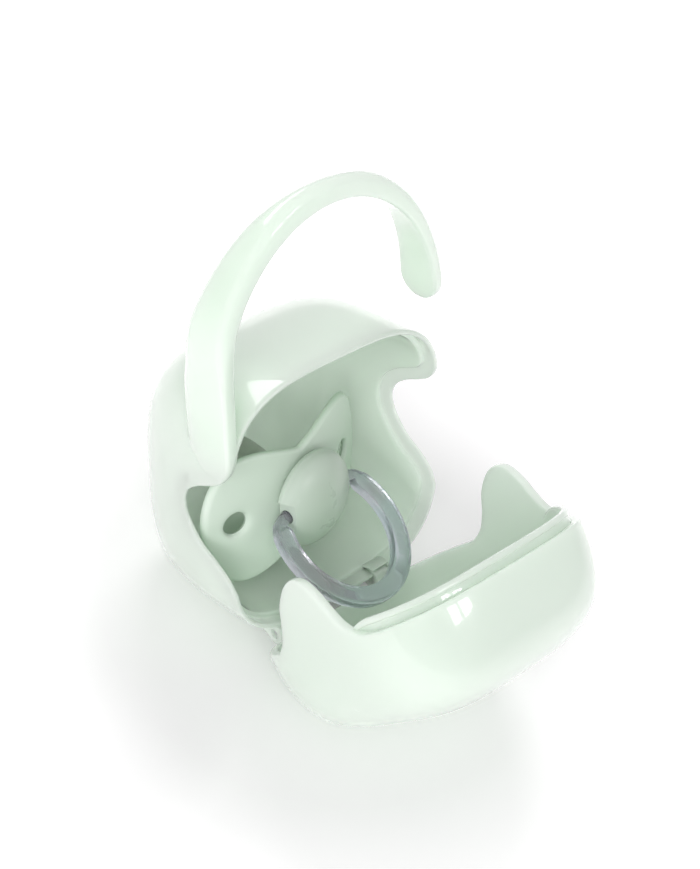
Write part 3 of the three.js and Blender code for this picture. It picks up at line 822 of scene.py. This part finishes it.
def prism(name, outline, hole, from_x, to_x, matrix):
    """An outline of (behind, height) pairs swept along X, with a round hole if asked."""
    count = len(outline)
    points = [Vector(p) for p in outline]
    edges = [(i, (i + 1) % count) for i in range(count)]
    if hole:
        steps = 32
        turns = [2 * math.pi * i / steps for i in range(steps)]
        points += [Vector((hole * math.cos(turn), hole * math.sin(turn))) for turn in turns]
        edges += [(count + i, count + (i + 1) % steps) for i in range(steps)]
    flat, _, faces, *_ = delaunay_2d_cdt(points, edges, [], 0, 1e-9)
    form = bmesh.new()
    verts = [form.verts.new((from_x, p.x, p.y)) for p in flat]
    for face in faces:
        middle = face_middle(face, flat)
        if within(middle, outline) and not (hole and middle.length < hole):
            form.faces.new([verts[i] for i in face])
    loose = [v for v in form.verts if not v.link_faces]
    bmesh.ops.delete(form, geom=loose, context="VERTS")
    swept = bmesh.ops.extrude_face_region(form, geom=list(form.faces))
    top = [v for v in swept["geom"] if isinstance(v, bmesh.types.BMVert)]
    bmesh.ops.translate(form, verts=top, vec=(to_x - from_x, 0, 0))
    bmesh.ops.recalc_face_normals(form, faces=form.faces)
    form.normal_update()
    rims = [
        e for e in form.edges
        if len(e.link_faces) == 2 and e.calc_face_angle(0) > math.radians(60)
    ]
    bmesh.ops.bevel(
        form, geom=rims, offset=0.2 * MM, segments=2, profile=0.5, affect="EDGES", clamp_overlap=True
    )
    form.transform(matrix)
    mesh = bpy.data.meshes.new(name)
    form.to_mesh(mesh)
    form.free()
    mesh.shade_smooth()
    mesh.set_sharp_from_angle(angle=math.radians(50))
    return linked(name, mesh)


def within(point, outline):
    """Whether a point lies inside a closed outline, by counting the sides that it is left of."""
    inside = False
    for (x0, y0), (x1, y1) in zip(outline, outline[1:] + outline[:1]):
        if (y0 > point.y) != (y1 > point.y) and point.x < (x1 - x0) * (point.y - y0) / (y1 - y0) + x0:
            inside = not inside
    return inside


def lug_places(lug):
    """Where the back shell's and the front shell's lugs start, along the axis."""
    inner = lug.end - lug.width - lug.gap
    return (-lug.end, lug.end - lug.width), (-inner, inner - lug.width)


def lug_outline(lug, shell, sign):
    """A round eye with a web under the shell: sign is 1 towards the back and -1 to the front."""
    steps = 24
    turns = [math.pi / 2 + math.pi * i / steps for i in range(steps + 1)]
    eye = [(sign * lug.radius * math.cos(turn), lug.radius * math.sin(turn)) for turn in turns]
    low, high = shell.above_hinge + 0.2 * MM, shell.above_hinge + 1.5 * MM
    return eye + [(sign * lug.web, low), (sign * lug.web, high)]


def heel_outline(lug, shell):
    """The stop on a front lug, drawn where it stands when the box is open."""
    top, reach = shell.above_hinge - GAP, 4.6 * MM
    return [(0, top), (reach, top), (reach, top - lug.radius / 2), (0, -lug.radius)]


def hood_outline(lug):
    """A low arch over a front lug's eye, inside the back shell."""
    inner, outer = lug.radius + 0.4 * MM, lug.radius + 1.15 * MM
    turns = [math.radians(t) for t in range(15, 114, 7)]
    arch = [(inner, turn) for turn in turns] + [(outer, turn) for turn in reversed(turns)]
    return [(radius * math.cos(turn), radius * math.sin(turn)) for radius, turn in arch]


def lug_cutters(settings, places, matrix):
    """Round rooms in one shell for the other shell's lugs."""
    lug = settings.lug
    radius = lug.radius + 0.35 * MM
    turn = matrix @ Matrix.Rotation(math.pi / 2, 4, "Y")
    return [lathe("cutter", rod(radius, x - lug.gap, x + lug.width + lug.gap), 48, turn) for x in places]


# Pacifier


def shield_lines(pac):
    """The shield's edge, air holes and stem hole, each with the side on which the shield lies."""
    turn = np.linspace(0, 2 * math.pi, 361)[:-1]
    swell = 0.6 + 0.8 * np.abs(np.cos(turn)) ** 1.3
    edge = np.stack([pac.half_length * np.cos(turn), pac.wing_height * np.sin(turn) * swell], -1)
    step = 2 * math.pi * np.arange(64) / 64
    circle = np.stack([np.cos(step), np.sin(step)], -1)
    holes = [circle * pac.hole_radius + (side * pac.hole_spacing / 2, 0) for side in (-1, 1)]
    return [(edge, 1), (holes[0], -1), (holes[1], -1), (circle * STEM_HOLE, -1)]


def from_lines(lines, spot):
    """Distance from the nearest point of the lines."""
    return min(np.sqrt(((line - spot) ** 2).sum(1)).min() for line, _ in lines)


def from_air_hole(pac, spot):
    """Distance from the middle of the nearer air hole."""
    return min(math.hypot(spot[0] - side * pac.hole_spacing / 2, spot[1]) for side in (-1, 1))


def shield_net(pac, lines):
    """The shield drawn flat: points, faces, and each point's distance from the lines, or FAR."""
    points, distances, edges = [], [], []
    for line, side in lines:
        run = np.roll(line, -1, 0) - np.roll(line, 1, 0)
        out = np.stack([run[:, 1], -run[:, 0]], -1) * side
        out /= np.linalg.norm(out, axis=1)[:, None]
        start, count = len(points), len(line)
        edges += [(start + i, start + (i + 1) % count) for i in range(count)]
        for inset in (0, 0.05, 0.15, 0.32, 0.55, 0.8, 1.2, 1.7):
            points += [Vector(p) for p in line - out * inset * MM]
            distances += [inset * MM] * count
    outline = [tuple(p) for p in lines[0][0]]
    step, reach, clear = 0.0009, 0.026, 2.3 * MM
    grid = np.arange(-reach, reach + step / 9, step)
    for i, x in enumerate(grid):
        for y in grid:
            spot = np.array([x, y + (step / 2 if i % 2 else 0)])
            outside_holes = np.hypot(*spot) > STEM_HOLE and from_air_hole(pac, spot) > pac.hole_radius
            if outside_holes and within(Vector(spot), outline) and from_lines(lines, spot) > clear:
                points.append(Vector(spot))
                distances.append(FAR)
    flat, _, faces, sources, *_ = delaunay_2d_cdt(points, edges, [], 0, 1e-9)
    kept = []
    for face in faces:
        middle = face_middle(face, flat)
        in_hole = middle.length < STEM_HOLE or from_air_hole(pac, middle) < pac.hole_radius * 0.999
        if within(middle, outline) and not in_hole:
            kept.append(list(face))
    return flat, kept, [min([distances[k] for k in each] or [FAR]) for each in sources]


def shield_piece(settings):
    """The shield: bent, rounded at every rim and dished around its air holes."""
    pac = settings.pacifier
    lines = shield_lines(pac)
    flat, net, distances = shield_net(pac, lines)
    half, rounding = pac.thickness / 2, 0.85 * MM
    dish_depth, dish_width = 0.45 * MM, 2.2 * MM
    top, bottom = [], []
    for spot, near in zip(flat, distances):
        if 0 < near < FAR:
            near = from_lines(lines, np.array(spot))
        short = min(near / rounding, 1)
        rise = half - rounding + rounding * math.sqrt(max(1 - (1 - short) ** 2, 0))
        bend = -pac.bend * (spot.x / pac.half_length) ** 2
        away = from_air_hole(pac, spot) - pac.hole_radius
        dish = dish_depth * max(1 - away / dish_width, 0) ** 2
        top.append((spot.x, spot.y, bend + rise - dish))
        bottom.append((spot.x, spot.y, bend - rise))
    count = len(flat)
    sides = dict.fromkeys((a, b) for face in net for a, b in zip(face, face[1:] + face[:1]))
    walls = [(b, a, a + count, b + count) for a, b in sides if (b, a) not in sides]
    faces = net + [[i + count for i in reversed(face)] for face in net] + walls
    used = sorted({i for face in faces for i in face})
    renumber = {old: new for new, old in enumerate(used)}
    every = top + bottom
    points = moved([every[i] for i in used], pacifier_place(settings))
    return new_piece("shield", points, [[renumber[i] for i in face] for face in faces])


def knob_profile(pac):
    """The knob as (radius, height) pairs: stem, neck, rounded edge, groove and dome."""
    front = pac.thickness / 2 + GAP
    base, radius = pac.knob_base, pac.knob_radius
    stem, stem_end, chamfer, neck, rounding = 3.2 * MM, -6 * MM, 0.2 * MM, 8 * MM, 1.1 * MM
    underside, edge, dome = base - 1 * MM, base + 0.1 * MM, base + 0.8 * MM
    profile = [(0, stem_end), (stem - chamfer, stem_end), (stem, stem_end + chamfer), (stem, front)]
    profile += [(neck, front), (neck, underside), (radius - rounding, underside)]
    for i in range(1, 7):
        turn = math.pi / 2 * i / 7 - math.pi / 2
        profile.append((radius - rounding + rounding * math.cos(turn), edge + rounding * math.sin(turn)))
    profile += [(radius, base + 0.55 * MM), (radius - 0.08 * MM, base + 0.72 * MM)]
    top = base + pac.knob_rise
    for i in range(1, 40):
        turn = math.pi / 2 * i / 40
        out = (radius - 0.2 * MM) * math.cos(turn) ** 0.96
        profile.append((out, dome + (top - dome) * math.sin(turn) ** 1.08))
    return profile + [(0, top)]


def towards_pole(knots):
    """A smooth profile through knots, of which the last lies on the axis."""
    return [(max(radius, 0), height) for radius, height in through(knots, 9)[:-1]] + [knots[-1]]


def teat_profile(pac):
    """The teat as (radius, height) pairs, from its inner pole around its flange to its outer one."""
    reach = pac.teat_length
    flange, waist, bulb, bore, wall = 6.6 * MM, 4.7 * MM, 6.1 * MM, 3.5 * MM, 1.2 * MM
    back = -pac.bend * (flange / pac.half_length) ** 2 - pac.thickness / 2 - GAP
    outer = towards_pole([
        (flange, back), (flange, back - 1.2 * MM), (5 * MM, back - 2.4 * MM), (waist, -0.36 * reach),
        (bulb, -0.7 * reach), (4.6 * MM, -0.93 * reach), (0, -reach),
    ])
    inner = towards_pole([
        (bore, back), (bore, -0.36 * reach), (bulb - wall, -0.7 * reach), (3.9 * MM, -0.88 * reach),
        (0, wall - reach),
    ])
    return inner[::-1] + outer


def ring_path(pac):
    """The middle of the ring's band as (across, down) pairs, from one pocket of the knob to the other."""
    wide, tall, drop = pac.ring_half_width, pac.ring_half_length, pac.ring_drop
    start = math.asin((drop - 2.6 * MM) / tall)
    turn = np.linspace(start, -math.pi - start, 121)
    arc = np.stack([wide * np.cos(turn), tall * np.sin(turn) - drop], -1)
    end, straight = (9.3 * MM, 0), (9.8 * MM, 0)
    knots = [end, (10.2 * MM, 0), (arc[0][0] - 0.75 * MM, -0.9 * MM), arc[0], arc[4]]
    corner = through(knots, 8)[8:-8]
    right = np.vstack([[end, straight], corner])
    return np.vstack([right, arc[1:-1], right[::-1] * (-1, 1)])


# Shader node groups


def shader_group(name, inputs, outputs):
    group = bpy.data.node_groups.new(name, "ShaderNodeTree")
    for label, kind, default in inputs:
        socket = group.interface.new_socket(label, in_out="INPUT", socket_type="NodeSocket" + kind)
        if default is not None:
            socket.default_value = default
    for label, kind in outputs:
        group.interface.new_socket(label, in_out="OUTPUT", socket_type="NodeSocket" + kind)
    return group, group.nodes.new("NodeGroupInput"), group.nodes.new("NodeGroupOutput")


class Shading(Nodes):
    """The nodes of one shader tree."""

    def noise(self, vector, scale, detail=2.0, rough=0.5):
        return self.node(
            "ShaderNodeTexNoise", Vector=vector, Scale=scale, Detail=detail, Roughness=rough
        ).outputs["Fac"]

    def span(self, value, low, high, to_low, to_high):
        """A value between low and high, mapped to between to_low and to_high."""
        return self.result("ShaderNodeMapRange", (value, low, high, to_low, to_high))

    def mixed(self, share, a, b, blend="MIX"):
        made = self.node("ShaderNodeMix", {"data_type": "RGBA", "blend_type": blend})
        self.feed(made.inputs[0], share)
        self.feed(made.inputs[6], a)
        self.feed(made.inputs[7], b)
        return made.outputs[2]


def moulded_group():
    """Moulded plastic: faint clouds of colour, rubbed patches and a fine skin."""
    found = bpy.data.node_groups.get("moulded_plastic")
    if found:
        return found
    group, given, out = shader_group(
        "moulded_plastic",
        [("Vector", "Vector", None), ("Colour", "Color", (0.8, 0.8, 0.8, 1)), ("Clouding", "Float", 0.03),
         ("Roughness", "Float", 0.2), ("Rubbing", "Float", 0.06), ("Skin", "Float", 900.0)],
        [("Colour", "Color"), ("Roughness", "Float"), ("Height", "Float")],
    )
    s = Shading(group)
    at = given.outputs["Vector"]
    broad = s.noise(at, 28.0, 3.0)
    streak = s.noise(at, 95.0, 4.0, 0.6)
    clouds = s.math("ADD", s.math("MULTIPLY", broad, 0.7), s.math("MULTIPLY", streak, 0.3))
    shift = s.math("MULTIPLY", s.math("SUBTRACT", clouds, 0.5), given.outputs["Clouding"])
    level = s.math("ADD", shift, 1.0)
    grey = s.node("ShaderNodeCombineColor", Red=level, Green=level, Blue=level).outputs[0]
    painted = s.mixed(1.0, given.outputs["Colour"], grey, "MULTIPLY")
    worn = s.span(s.node("ShaderNodeNewGeometry").outputs["Pointiness"], 0.52, 0.62, 0.0, 1.0)
    worn = s.math("MULTIPLY", worn, s.span(streak, 0.4, 0.7, 0.2, 0.8))
    pale = s.mixed(s.math("MULTIPLY", worn, 0.12), painted, (0.93, 0.97, 0.93, 1))
    s.feed(out.inputs["Colour"], pale)
    rub = s.math("MULTIPLY", s.math("SUBTRACT", s.noise(at, 60.0, 5.0, 0.65), 0.5), given.outputs["Rubbing"])
    rough = s.math("ADD", given.outputs["Roughness"], s.math("MULTIPLY", rub, 2.0), clamp=True)
    s.feed(out.inputs["Roughness"], s.math("ADD", rough, s.math("MULTIPLY", worn, 0.05)))
    fine = s.noise(at, given.outputs["Skin"], 2.0)
    s.feed(out.inputs["Height"], s.math("ADD", fine, s.math("MULTIPLY", broad, 1.5)))
    return group


def scratches_group():
    """Hair scratches that catch light: a height and a mask."""
    found = bpy.data.node_groups.get("hair_scratches")
    if found:
        return found
    group, given, out = shader_group(
        "hair_scratches", [("Vector", "Vector", None), ("Amount", "Float", 0.3)],
        [("Mask", "Float"), ("Height", "Float")],
    )
    s = Shading(group)
    warp = s.node("ShaderNodeTexNoise", Vector=given.outputs["Vector"], Scale=18.0)
    bent = s.node("ShaderNodeVectorMath", {"operation": "SCALE"}, Vector=warp.outputs["Color"], Scale=0.02)
    warped = s.result("ShaderNodeVectorMath", (given.outputs["Vector"], bent.outputs[0]), operation="ADD")
    lines = s.node("ShaderNodeTexVoronoi", {"feature": "DISTANCE_TO_EDGE"}, Vector=warped, Scale=130.0)
    thin = s.span(lines.outputs["Distance"], 0.0, 0.02, 1.0, 0.0)
    patchy = s.span(s.noise(given.outputs["Vector"], 45.0, 3.0), 0.5, 0.7, 0.0, 1.0)
    mask = s.math("MULTIPLY", s.math("MULTIPLY", thin, patchy), given.outputs["Amount"])
    s.feed(out.inputs["Mask"], mask)
    s.feed(out.inputs["Height"], s.math("MULTIPLY", mask, -1.0))
    return group


def plastic(
    name, tint, roughness, rubbing, skin, bump, scratched, coat=0.0, coat_rough=0.03, second=None, more=None
):
    """A moulded plastic material from the shared groups."""
    found = bpy.data.materials.get(name)
    if found:
        return found
    material = bpy.data.materials.new(name)
    material.use_nodes = True
    material.node_tree.nodes.clear()
    s = Shading(material.node_tree)
    at = s.node("ShaderNodeTexCoord").outputs["Object"]
    moulded = s.node(
        "ShaderNodeGroup", {"node_tree": moulded_group()}, Vector=at, Colour=(*tint, 1),
        Roughness=roughness, Rubbing=rubbing, Skin=skin,
    )
    hair = s.node("ShaderNodeGroup", {"node_tree": scratches_group()}, Vector=at, Amount=scratched)
    rough = s.math("ADD", moulded.outputs["Roughness"], s.math("MULTIPLY", hair.outputs["Mask"], 0.1))
    height = s.math("ADD", moulded.outputs["Height"], hair.outputs["Height"])
    relief = s.node("ShaderNodeBump", Height=height, Strength=bump, Distance=0.02 * MM)
    painted = moulded.outputs["Colour"]
    if second:
        painted = s.mixed(s.span(s.noise(at, 70.0, 2.0), 0.42, 0.6, 0.0, 0.8), painted, (*second, 1))
    shader = s.node("ShaderNodeBsdfPrincipled", Base_Color=painted, Roughness=rough, Normal=relief.outputs[0])
    values = {"IOR": 1.49, "Coat Weight": coat, "Coat Roughness": coat_rough, **(more or {})}
    for label, value in values.items():
        shader.inputs[label].default_value = value
    s.node("ShaderNodeOutputMaterial", Surface=shader.outputs[0])
    return material


def mint_plastic(settings):
    return plastic(
        "glossy_mint_plastic", settings.finish.mint, roughness=0.24, rubbing=0.05, skin=900.0, bump=0.25,
        scratched=0.25, coat=1.0, coat_rough=0.02, more={
            "Subsurface Weight": 0.9, "Subsurface Radius": (1.0, 1.0, 1.0), "Subsurface Scale": 8 * MM,
        },
    )


def sage_plastic(settings, name, share, roughness):
    """Satin plastic, darkened to a share of its colour; a share below 1 is painted shade."""
    tint = tuple(c * share for c in settings.finish.sage)
    return plastic(name, tint, roughness, rubbing=0.02, skin=1400.0, bump=0.12, scratched=0.0)


def smoke_plastic(settings):
    return plastic(
        "clear_grey_plastic", settings.finish.smoke, roughness=0.1, rubbing=0.06, skin=260.0, bump=1.0,
        scratched=0.6, second=(0.62, 0.58, 0.64), more={"Transmission Weight": 0.8},
    )


def milky_silicone(settings):
    return plastic(
        "milky_silicone", settings.finish.silicone, roughness=0.3, rubbing=0.08, skin=1800.0, bump=0.4,
        scratched=0.1, more={"Transmission Weight": 0.4},
    )


def pin_steel(settings):
    return plastic(
        "hinge_steel", settings.finish.steel, roughness=0.3, rubbing=0.15, skin=2500.0, bump=0.3,
        scratched=0.6, more={"Metallic": 1.0},
    )


def dress(piece, material, body, slot, *nodes):
    """Gives a finished piece its material and body, and hides the nodes it stands for. The slot is not used.
    """
    piece.data.materials.clear()
    piece.data.materials.append(material)
    for face in piece.data.polygons:
        face.material_index = 0
    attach(piece, body)
    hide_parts(*nodes)


# Operators


class Maker:
    """What the operators share: each one makes its piece or stage from the panel's settings."""

    def execute(self, context):
        self.make(context.scene.pacifier_box)
        return {"FINISHED"}


class BackShellOperator(Maker, bpy.types.Operator):
    """Make the back shell with its hook handle and hinge lugs"""

    bl_idname = "pacifier_box.back_shell"
    bl_label = "Back shell"

    def make(self, settings):
        shell, lug = settings.shell, settings.lug
        cube = RoundedCube(shell)
        place = upright(settings)
        back, front = lug_places(lug)
        material = mint_plastic(settings)
        seed = shell_seed(cube, shell.around, BACK_RIM, front=False)
        body = shaped_by_cube("back_wall", seed, settings, -shell.tip_angle, material)
        cut(body, lug_cutters(settings, front, place))
        body.data.set_sharp_from_angle(angle=math.radians(55))
        outline = lug_outline(lug, shell, 1)
        lugs = [prism("lug", outline, lug.pin + PIN_PLAY, x, x + lug.width, place) for x in back]
        over = 0.5 * MM
        lugs += [
            prism("hood", hood_outline(lug), 0, x - over, x + lug.width + over, place) for x in front
        ]
        whole = fused("back_shell_and_hook", body, [hook_strap(settings, cube), *lugs])
        dress(whole, material, "back", "back_shell", "back_shell")


class FrontShellOperator(Maker, bpy.types.Operator):
    """Make the front shell with its lip, hinge lugs and heels"""

    bl_idname = "pacifier_box.front_shell"
    bl_label = "Front shell"

    def make(self, settings):
        shell, lug = settings.shell, settings.lug
        cube = RoundedCube(shell)
        place = opened(settings)
        back, front = lug_places(lug)
        turn = shell.open_angle - shell.tip_angle
        material = mint_plastic(settings)
        seed = shell_seed(cube, shell.around, FRONT_RIM, front=True)
        body = shaped_by_cube("front_wall", seed, settings, turn, material)
        cut(body, lug_cutters(settings, back, place))
        body.data.set_sharp_from_angle(angle=math.radians(55))
        lip = shaped_by_cube("lip", lip_seed(cube), settings, turn, material)
        outline, heel = lug_outline(lug, shell, -1), heel_outline(lug, shell)
        parts = [lip]
        for x in front:
            parts.append(prism("lug", outline, lug.pin + PIN_PLAY, x, x + lug.width, place))
            parts.append(prism("heel", heel, 0, x, x + lug.width, upright(settings)))
        whole = fused("front_shell_and_lip", body, parts)
        dress(whole, material, "front", "front_shell", "front_shell")


class HingePinsOperator(Maker, bpy.types.Operator):
    """Make the two hinge pins"""

    bl_idname = "pacifier_box.hinge_pins"
    bl_label = "Hinge pins"

    def make(self, settings):
        lug = settings.lug
        outer = lug.end - lug.recess
        inner = lug.end - 2 * lug.width - lug.gap + lug.recess
        middle = (outer + inner) / 2
        seed = plain_mesh("pin_seed", [(-middle, 0, 0), (middle, 0, 0)])
        material = pin_steel(settings)
        pins = grown("hinge_pins", seed, pin_tree(), {
            "Radius": lug.pin, "Length": outer - inner, "Chamfer": 0.15 * MM, "Material": material,
        })
        pins.data.transform(upright(settings))
        finish_mesh(pins, math.radians(30))
        dress(pins, material, "back", "hinge_pins", "hinge_pin_left", "hinge_pin_right")


class ShieldOperator(Maker, bpy.types.Operator):
    """Make the pacifier's shield with its two air holes"""

    bl_idname = "pacifier_box.shield"
    bl_label = "Shield"

    def make(self, settings):
        piece = shield_piece(settings)
        material = sage_plastic(settings, "satin_sage_plastic", 1.0, 0.42)
        dress(piece, material, "pacifier", "pacifier_shield", "pacifier_shield")


class KnobOperator(Maker, bpy.types.Operator):
    """Make the pacifier's knob with the pockets that the ring turns in"""

    bl_idname = "pacifier_box.knob"
    bl_label = "Knob"

    def make(self, settings):
        pac = settings.pacifier
        place = pacifier_place(settings)
        knob = lathe("knob", knob_profile(pac), 128, place)
        pivot = place @ Matrix.Translation((0, 0, pac.ring_pivot)) @ Matrix.Rotation(math.pi / 2, 4, "Y")
        pocket, bore, clear = 3.9 * MM, 1.6 * MM, 20 * MM
        cutters = [
            lathe("pocket", rod(pocket, start * MM, end * MM), 64, pivot)
            for start, end in ((-22, -9.2), (9.2, 22))
        ]
        cutters.append(lathe("bore", rod(bore, -clear, clear), 48, pivot))
        cut(knob, cutters)
        finish_mesh(knob, sharp=math.radians(40), weld=1e-6)
        # The knob's sage is darkened to 0.8 of the shield's: painted shade for the shade that the knob sits
        # in
        material = sage_plastic(settings, "satin_sage_knob_painted_shade", 0.8, 0.28)
        dress(knob, material, "pacifier", "pacifier_knob", "pacifier_knob")


class TeatOperator(Maker, bpy.types.Operator):
    """Make the pacifier's hollow teat"""

    bl_idname = "pacifier_box.teat"
    bl_label = "Teat"

    def make(self, settings):
        profile = teat_profile(settings.pacifier)
        teat = lathe("teat", profile, 64, pacifier_place(settings), math.radians(60))
        dress(teat, milky_silicone(settings), "pacifier", "pacifier_teat", "pacifier_teat")


class RingOperator(Maker, bpy.types.Operator):
    """Make the pacifier's clear ring and its bar"""

    bl_idname = "pacifier_box.ring"
    bl_label = "Ring"

    def make(self, settings):
        pac = settings.pacifier
        path = ring_path(pac)
        # The band is slimmer where it enters the knob
        scale = 0.62 + 0.38 * smooth(np.clip(np.abs(path[:, 1]) / (3.2 * MM), 0, 1))
        steps = [(i, i + 1) for i in range(len(path) - 1)]
        seed = plain_mesh("ring_seed", [(x, y, 0) for x, y in path], edges=steps)
        kept = seed.attributes.new("band_scale", "FLOAT", "POINT")
        kept.data.foreach_set("value", scale.astype(np.float32))
        material = smoke_plastic(settings)
        band = grown("band", seed, band_tree(), {
            "Band": pac.ring_band, "Thickness": pac.ring_thickness, "Rounding": 0.9 * MM,
            "Material": material,
        })
        place = pacifier_place(settings) @ Matrix.Translation((0, 0, pac.ring_pivot))
        place = place @ Matrix.Rotation(-pac.ring_swing, 4, "X")
        band.data.transform(place)
        finish_mesh(band)
        far, chamfer = 9.6 * MM, 0.1 * MM
        bar = [(0, -far), (pac.ring_bar - chamfer, -far), (pac.ring_bar, chamfer - far)]
        bar += [(r, -z) for r, z in reversed(bar)]
        axle = lathe("axle", bar, 40, place @ Matrix.Rotation(math.pi / 2, 4, "Y"), math.radians(30))
        ring = joined("ring", [band, axle])
        dress(ring, material, "ring", "pacifier_ring", "pacifier_ring")


# Studio


def area_light(name, place, aim, width, power, height=0.25):
    """A rectangular panel that faces what it is aimed at."""
    data = bpy.data.lights.new(name, "AREA")
    data.shape, data.size, data.size_y, data.energy = "RECTANGLE", width, height, power
    lamp = linked(name, data)
    lamp.location = place
    lamp.rotation_mode = "QUATERNION"
    lamp.rotation_quaternion = (Vector(aim) - Vector(place)).to_track_quat("-Z", "Y")
    return lamp


def seen_share(s):
    """1 where the camera, a reflection or a clear piece looks, and 0 where light bounces."""
    path = s.node("ShaderNodeLightPath").outputs
    both = s.math("MAXIMUM", path["Is Camera Ray"], path["Is Glossy Ray"])
    return s.math("MAXIMUM", both, path["Is Transmission Ray"])


class StudioOperator(Maker, bpy.types.Operator):
    """Make the floor, the light and the camera"""

    bl_idname = "pacifier_box.studio"
    bl_label = "Studio"

    def make(self, settings):
        scene = bpy.context.scene
        scene.view_settings.view_transform = "Standard"
        self.floor()
        self.sky(scene, settings.studio)
        self.lamps(settings.studio)
        self.camera(scene, settings)

    def floor(self):
        form = bmesh.new()
        bmesh.ops.create_grid(form, x_segments=8, y_segments=8, size=1.5)
        mesh = bpy.data.meshes.new("floor")
        form.to_mesh(mesh)
        form.free()
        floor = linked("floor", mesh)
        material = bpy.data.materials.new("white_table")
        material.use_nodes = True
        material.node_tree.nodes.clear()
        s = Shading(material.node_tree)
        at = s.node("ShaderNodeTexCoord").outputs["Object"]
        tint = s.mixed(s.noise(at, 40.0, 3.0), (0.90, 0.88, 0.90, 1), (0.92, 0.90, 0.915, 1))
        shader = s.node("ShaderNodeBsdfPrincipled", Base_Color=tint, Roughness=0.6)
        shader.inputs["Specular IOR Level"].default_value = 0.1
        # Where the camera or a reflection looks, the floor glows as painted light that whitens it; the glow
        # is low near the object, a painted shade around it, and rises to plain white away from it
        away = s.node("ShaderNodeVectorMath", {"operation": "LENGTH"}, Vector=at).outputs["Value"]
        near, far, near_painted_shade_glow, far_glow = 0.05, 0.115, 0.1, 0.6
        painted_glow = s.math("MULTIPLY", seen_share(s), s.span(away, near, far, near_painted_shade_glow, far_glow))
        lift = s.node("ShaderNodeEmission", Color=(1, 1, 1, 1), Strength=painted_glow)
        both = s.result("ShaderNodeAddShader", (shader.outputs[0], lift.outputs[0]))
        s.node("ShaderNodeOutputMaterial", Surface=both)
        mesh.materials.append(material)

    def sky(self, scene, studio):
        world = bpy.data.worlds.new("studio_sky")
        scene.world = world
        world.use_nodes = True
        world.node_tree.nodes.clear()
        s = Shading(world.node_tree)
        strength = s.span(seen_share(s), 0.0, 1.0, studio.sky, 1.0)
        sky = s.node("ShaderNodeBackground", Color=(1, 1, 1, 1), Strength=strength)
        s.node("ShaderNodeOutputWorld", Surface=sky.outputs[0])

    def lamps(self, studio):
        aim = (0, 0, 0.04)
        for name, place, width, power in (
            ("key", (-1.3, -0.58, 0.76), 1.2, studio.key), ("front", (-0.61, -0.41, 0.79), 0.5, studio.front),
            ("back", (0.5, 0.6, 0.95), 0.5, studio.back), ("fill", (0.1, -1.0, 0.3), 0.4, studio.fill),
        ):
            area_light(name, place, aim, width, power).visible_glossy = False
        # Small panels that only show as reflections on the glossy shells
        disc = area_light("disc", (0.0409, 0.5353, 0.3687), (-0.0593, 0.0234, 0.0725), 0.36, 0.16, 0.036)
        disc.rotation_quaternion = disc.rotation_quaternion @ Quaternion((0, 0, 1), math.radians(11.3))
        mirrored_at, distance, power = Vector((-0.0146, -0.0380, 0.0560)), 0.8, 0.3
        panes = [
            area_light("pane", mirrored_at + distance * Vector(way), mirrored_at, width, power, height)
            for way, width, height in (
                ((0.11, -0.735, 0.665), 0.125, 0.10), ((0.30, -0.69, 0.655), 0.11, 0.085)
            )
        ]
        for lamp in (disc, *panes):
            lamp.visible_camera = lamp.visible_diffuse = lamp.visible_transmission = False

    def camera(self, scene, settings):
        """The camera, placed in the axes of the upright closed box."""
        heading, pitch, roll = -0.763997, 0.571909, 0.00096
        where = Vector((-0.2569, -0.2726, 0.2844))
        level = Vector((math.cos(heading), math.sin(heading), 0))
        flat = math.cos(pitch)
        back = Vector((math.sin(heading) * flat, -math.cos(heading) * flat, math.sin(pitch)))
        above = back.cross(level)
        right = level * math.cos(roll) - above * math.sin(roll)
        up = level * math.sin(roll) + above * math.cos(roll)
        data = bpy.data.cameras.new("camera")
        data.sensor_width = 36
        data.lens = settings.studio.lens * 1000
        data.clip_start, data.clip_end = 0.01, 20
        camera = linked("camera", data)
        turn = Matrix((right, up, back)).transposed().to_4x4()
        camera.matrix_world = upright(settings) @ Matrix.Translation(where) @ turn
        scene.camera = camera


class PacifierBoxPanel(bpy.types.Panel):
    """Sizes, finishes and makers of the pacifier box"""

    bl_idname = "VIEW3D_PT_pacifier_box"
    bl_label = "Pacifier Box"
    bl_space_type = "VIEW_3D"
    bl_region_type = "UI"
    bl_category = "Pacifier Box"

    def draw(self, context):
        settings = context.scene.pacifier_box
        for group in (
            settings.shell, settings.hook, settings.lug, settings.pacifier, settings.finish, settings.studio
        ):
            box = self.layout.box()
            for name in group.__annotations__:
                box.prop(group, name)
        for maker in OPERATORS:
            self.layout.operator(maker.bl_idname)


GROUPS = (
    ShellSizes, HookSizes, LugSizes, PacifierSizes, Finishes, StudioSettings, PacifierBoxSettings
)
OPERATORS = (
    StudioOperator, BackShellOperator, FrontShellOperator, HingePinsOperator, ShieldOperator,
    KnobOperator, TeatOperator, RingOperator,
)


def register():
    for each in (*GROUPS, *OPERATORS, PacifierBoxPanel):
        bpy.utils.register_class(each)
    bpy.types.Scene.pacifier_box = PointerProperty(type=PacifierBoxSettings)


def unregister():
    del bpy.types.Scene.pacifier_box
    for each in reversed((*GROUPS, *OPERATORS, PacifierBoxPanel)):
        bpy.utils.unregister_class(each)


def main():
    register()
    for maker in OPERATORS:
        group, name = maker.bl_idname.split(".")
        getattr(getattr(bpy.ops, group), name)()


if __name__ == "__main__":
    main()
